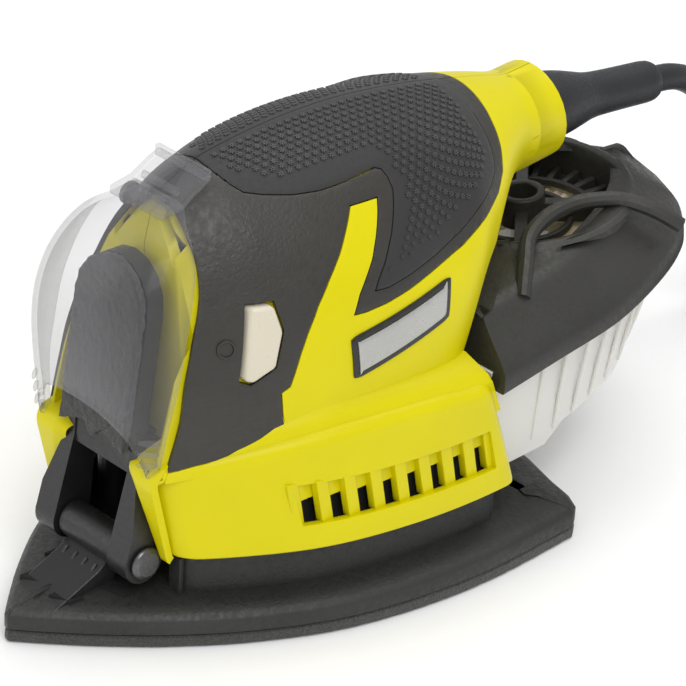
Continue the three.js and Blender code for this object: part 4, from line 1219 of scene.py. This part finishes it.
# The cloth under the plate has a soft, slightly uneven edge.
def makeHooks():
    levels = [(1.6, 0.0), (0.5, 0.1), (0.1, 0.5), (0.0, 1.5), (0.15, 2.6), (0.7, 3.0)]
    rings = [plateRing(inset, z) for inset, z in levels]
    for j, ring in enumerate(rings):
        for i, p in enumerate(ring):
            if 0 < j < len(rings) - 1:
                wobble = noise.noise(Vector((i * 0.9, j * 1.7, 3.1)))
                ring[i] = Vector((p.x * (1 - 0.006 * abs(wobble)), p.y + 0.2 * max(wobble, 0), p.z))
    toObject(stacked(rings, 0.04), "hookLayer", hookEdge, "pad", ("hook_layer",))


makePlate()
makeRamp()
makePocketShade()
makeRim()
makeHooks()
print("plate done")

lidShare = through([
    (9.5, 1), (30, 0.965), (50, 0.93), (62, 0.87), (75, 0.775), (85, 0.675), (93, 0.555), (100, 0.37),
    (105, 0.12)])
lid = {"half": 46, "front": 9.5, "rear": 105, "lip": 47.2, "tilt": 6, "wall": 1.5, "steps": 64}
# the round well in the lid, which holds the grille over the filter
well = {"place": Vector((0, 58.5, 69.3)), "outer": 27.6, "spokes": 4, "slots": 30, "floor": -8}
lidTurn = Matrix.Rotation(math.radians(lid["tilt"]), 3, "X")


def lipZ(y):
    return lid["lip"] + (y - lid["front"]) * math.tan(math.radians(lid["tilt"]))


def lidOutline(rise, inset, front):
    y0 = lid["front"] + front
    points = [Vector((x, y0, lipZ(y0) + rise)) for x in (0.0, 12.0, 24.0, 34.0)]
    for k in range(lid["steps"] + 1):
        y = y0 + (lid["rear"] - inset * 0.8 - y0) * (k / lid["steps"]) ** 0.85
        x = lid["half"] * lidShare(y + inset * 0.8) - inset
        points.append(Vector((max(x, 0), y, lipZ(y) + rise)))
    last = points[-1]
    points.append(Vector((0, last.y, last.z)))
    return points


def wellPoint(radius, height, direction):
    return lidTurn @ Vector((radius * direction.x, radius * direction.y, height)) + well["place"]


# The lid rises from its lip in a soft shoulder, then falls into the well.
def makeLidShell():
    levels = [(0, 0.5, 0), (0.3, 0.1, 0), (2, 0.2, 0.4), (4.4, 0.7, 0.9), (5.2, 1.2, 1.0), (7.4, 3.4, 1.6),
              (10.6, 6.9, 2.3), (13.4, 9.8, 3), (14.6, 11, 3.4), (15.6, 12.3, 4), (16.1, 13.6, 4.6), (16.2, 14.6, 5.2)]
    rings = [lidOutline(*level) for level in levels]
    outline = rings[-1]
    directions = []
    for p in outline:
        d = Vector((p.x, p.y - well["place"].y))
        directions.append(d.normalized() if d.length > 0.1 else Vector((0, -1)))
    for share in (0.3, 0.55, 0.8):
        rings.append([p.lerp(wellPoint(well["outer"] + 1.5, 0.2, d), share)
                      for p, d in zip(outline, directions)])
    for radius, height in ((29.1, 0.2), (28.6, 0.5), (27.9, 1.1), (27.2, 1.3), (26.4, 1.1), (26.0, 0.5), (26.0, -4),
                           (26.0, -8.6), (25.4, -9), (23.6, -9)):
        rings.append([wellPoint(radius, height, d) for d in directions])
    bm, _ = gridMesh(rings)
    for v in bm.verts:
        if abs(v.co.x) < 0.02 * mm:
            v.co.x = 0
    bm = joined(bm, mirrored(bm))
    cleaned(bm, 0.03)
    shell = toObject(bm, "lidShell", lidPlastic, "dust_box", ("box_lid",), core=(0, 58, 50))
    thicken(shell, lid["wall"], 0.3, 2, 50)


# A bar of the grille, laid out from the middle of the well at an angle.
def grilleBar(angle, near, far, half, low, high):
    bar = prism([(near, -half), (far, -half), (far, half), (near, half)], low, high, "Z")
    turn = Matrix.Translation(well["place"] * mm) @ lidTurn.to_4x4() @ Matrix.Rotation(angle, 4, "Z")
    bmesh.ops.transform(bar, matrix=turn, verts=bar.verts)
    return bar


def makeGrille():
    place, floor = well["place"], well["floor"]
    hub = [(4, floor), (6, floor), (6, 0.2), (5.6, 0.5), (4.4, 0.5), (4, 0.2), (4, floor)]
    grille = lathe(hub, 40, "Z", place, lidTurn)
    for radius in (12.5, 19):
        inner, outer = radius - 0.7, radius + 0.7
        section = [(inner, -8.4), (outer, -8.4), (outer, -6.4), (inner, -6.4), (inner, -8.4)]
        grille = joined(grille, lathe(section, 64, "Z", place, lidTurn))
    for k in range(well["spokes"]):
        grille = joined(grille, grilleBar(pi / 4 + k * pi / 2, 5.6, 26.2, 1.6, floor, -2.6))
    for k in range(well["slots"]):
        grille = joined(grille, grilleBar(2 * pi * (k + 0.5) / well["slots"], 19.2, 25.9, 0.85, -8.6, -6.2))
    softened(toObject(grille, "lidGrille", lidPlastic, "dust_box", ()), 0.25)


# Two round wires arch over the well, one on each side.
def makeArches():
    arches = bmesh.new()
    for side in (1, -1):
        points = [(33, 27, 62.5), (27.5, 33, 67.4), (21.5, 40, 70.6), (18.2, 50, 72.2), (18.6, 60, 73),
                  (23, 70, 72.6), (28.6, 76.6, 70), (33.5, 82, 66)]
        wire = smoothPath([(side * x, y, z) for x, y, z in points], 1.2)
        arches = joined(arches, tube(wire, 2.05, 10))
    toObject(arches, "lidArches", lidPlastic, "dust_box", ())


pleats = {"count": 45, "inner": 11, "outer": 25.4, "floor": -17, "valley": -12.4, "deep": 2.4}


# The filter is a flat ring of paper whose top is folded into pleats.
def makeFilter():
    inner, outer, floor = pleats["inner"], pleats["outer"], pleats["floor"]
    steps = pleats["count"] * 4
    rows = []
    for k in range(steps):
        angle = 2 * pi * k / steps
        top = pleats["valley"] + pleats["deep"] * (0.0, 0.5, 1.0, 0.5)[k % 4]
        section = ((inner, floor), (outer, floor), (outer, top), (outer - 1, top + 0.6), (inner + 1, top + 0.6),
                   (inner, top))
        rows.append([wellPoint(r, z, Vector((math.cos(angle), math.sin(angle)))) for r, z in section])
    bm, _ = gridMesh(rows, closedRows=True, closedColumns=True)
    toObject(bm, "pleatedFilter", paper, "dust_box", ("pleated_filter",), smooth=False)


binRibs = {"first": 30, "count": 7, "pitch": 8.5, "radius": 0.55, "heights": (24, 30, 36, 42, 46.5)}


# Fine upright ribs follow the bin's drafted sides.
def makeBinRibs():
    ribs = bmesh.new()
    for side in (1, -1):
        for k in range(binRibs["count"]):
            y = binRibs["first"] + k * binRibs["pitch"]
            lift = max(y - 36, 0) * 0.09
            points = []
            for z in binRibs["heights"]:
                draft = 2.5 * (1 - (z - 20) / 26)
                x = lid["half"] * lidShare(y + 3.68 + draft * 3.5) - 4.6 - draft
                points.append((side * (x - 0.35), y, z + lift))
            ribs = joined(ribs, tube(smoothPath(points, 3), binRibs["radius"], 8))
    toObject(ribs, "binRibs", milky, "dust_box", ())


makeLidShell()
makeGrille()
makeArches()
makeFilter()
makeBinRibs()
print("dust box done")

# These parts keep their built shape and get softer edges.
plain = [
    ("finger", blackSmooth, "finger_arm", "black_plastic", 0.6),
    ("finger_pin", pinSteel, "pad", "bright_steel", 0.4),
    ("dust_bin", milky, "dust_box", "milky_clear", 0.5)]
for node, material, rides, slotName, bevel in plain:
    finished(node, f"{node}_look", material, rides, bevel)


fuzz = {"cell": 1.3, "high": 0.45}


# Splits a pad into fine cells and roughens them like loop cloth.
def fuzzed(bm):
    bmesh.ops.triangulate(bm, faces=bm.faces)
    for _ in range(6):
        long = [e for e in bm.edges if e.calc_length() > fuzz["cell"] * mm]
        if not long:
            break
        bmesh.ops.subdivide_edges(bm, edges=long, cuts=1)
        bmesh.ops.triangulate(bm, faces=bm.faces)
    bm.normal_update()
    for v in bm.verts:
        rise = noise.noise(v.co * 900) + 0.6 * noise.noise(v.co * 2100)
        v.co = v.co + v.normal * (fuzz["high"] * rise * mm)


finished("finger_hook_pad", "fingerPad", hookEdge, "finger_arm", 0, fuzzed)
# The parts inside keep the shape they were built with, each in its own material.
inner = {
    "motor_field": steel, "field_winding_lower": copper, "field_winding_upper": copper, "armature": steel,
    "commutator": brass, "motor_shaft": steel, "counterweight": steel, "fan": blackSmooth, "upper_bearing": steel,
    "lower_bearing": steel, "pad_bearing": steel, "carbon_brush_front": carbonAndPaintedShade, "carbon_brush_rear": carbonAndPaintedShade,
    "upper_bearing_bridge": blackSmooth, "lower_bearing_bridge": blackSmooth, "brush_holder_front": brass,
    "brush_holder_rear": brass, "switch_body": blackSmooth, "capacitor": greyCan, "cord_clamp": blackSmooth,
    "inner_lead": rubberBlack, "dust_port_seal": rubberBlack}
inner.update({f"rubber_post_{i}": rubberBlack for i in range(1, 5)})
inner.update({f"housing_screw_{i}": pinSteel for i in range(1, 5)})
for node, material in inner.items():
    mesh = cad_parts[node].data
    mesh.materials.clear()
    mesh.materials.append(material)
print("carried pieces done")
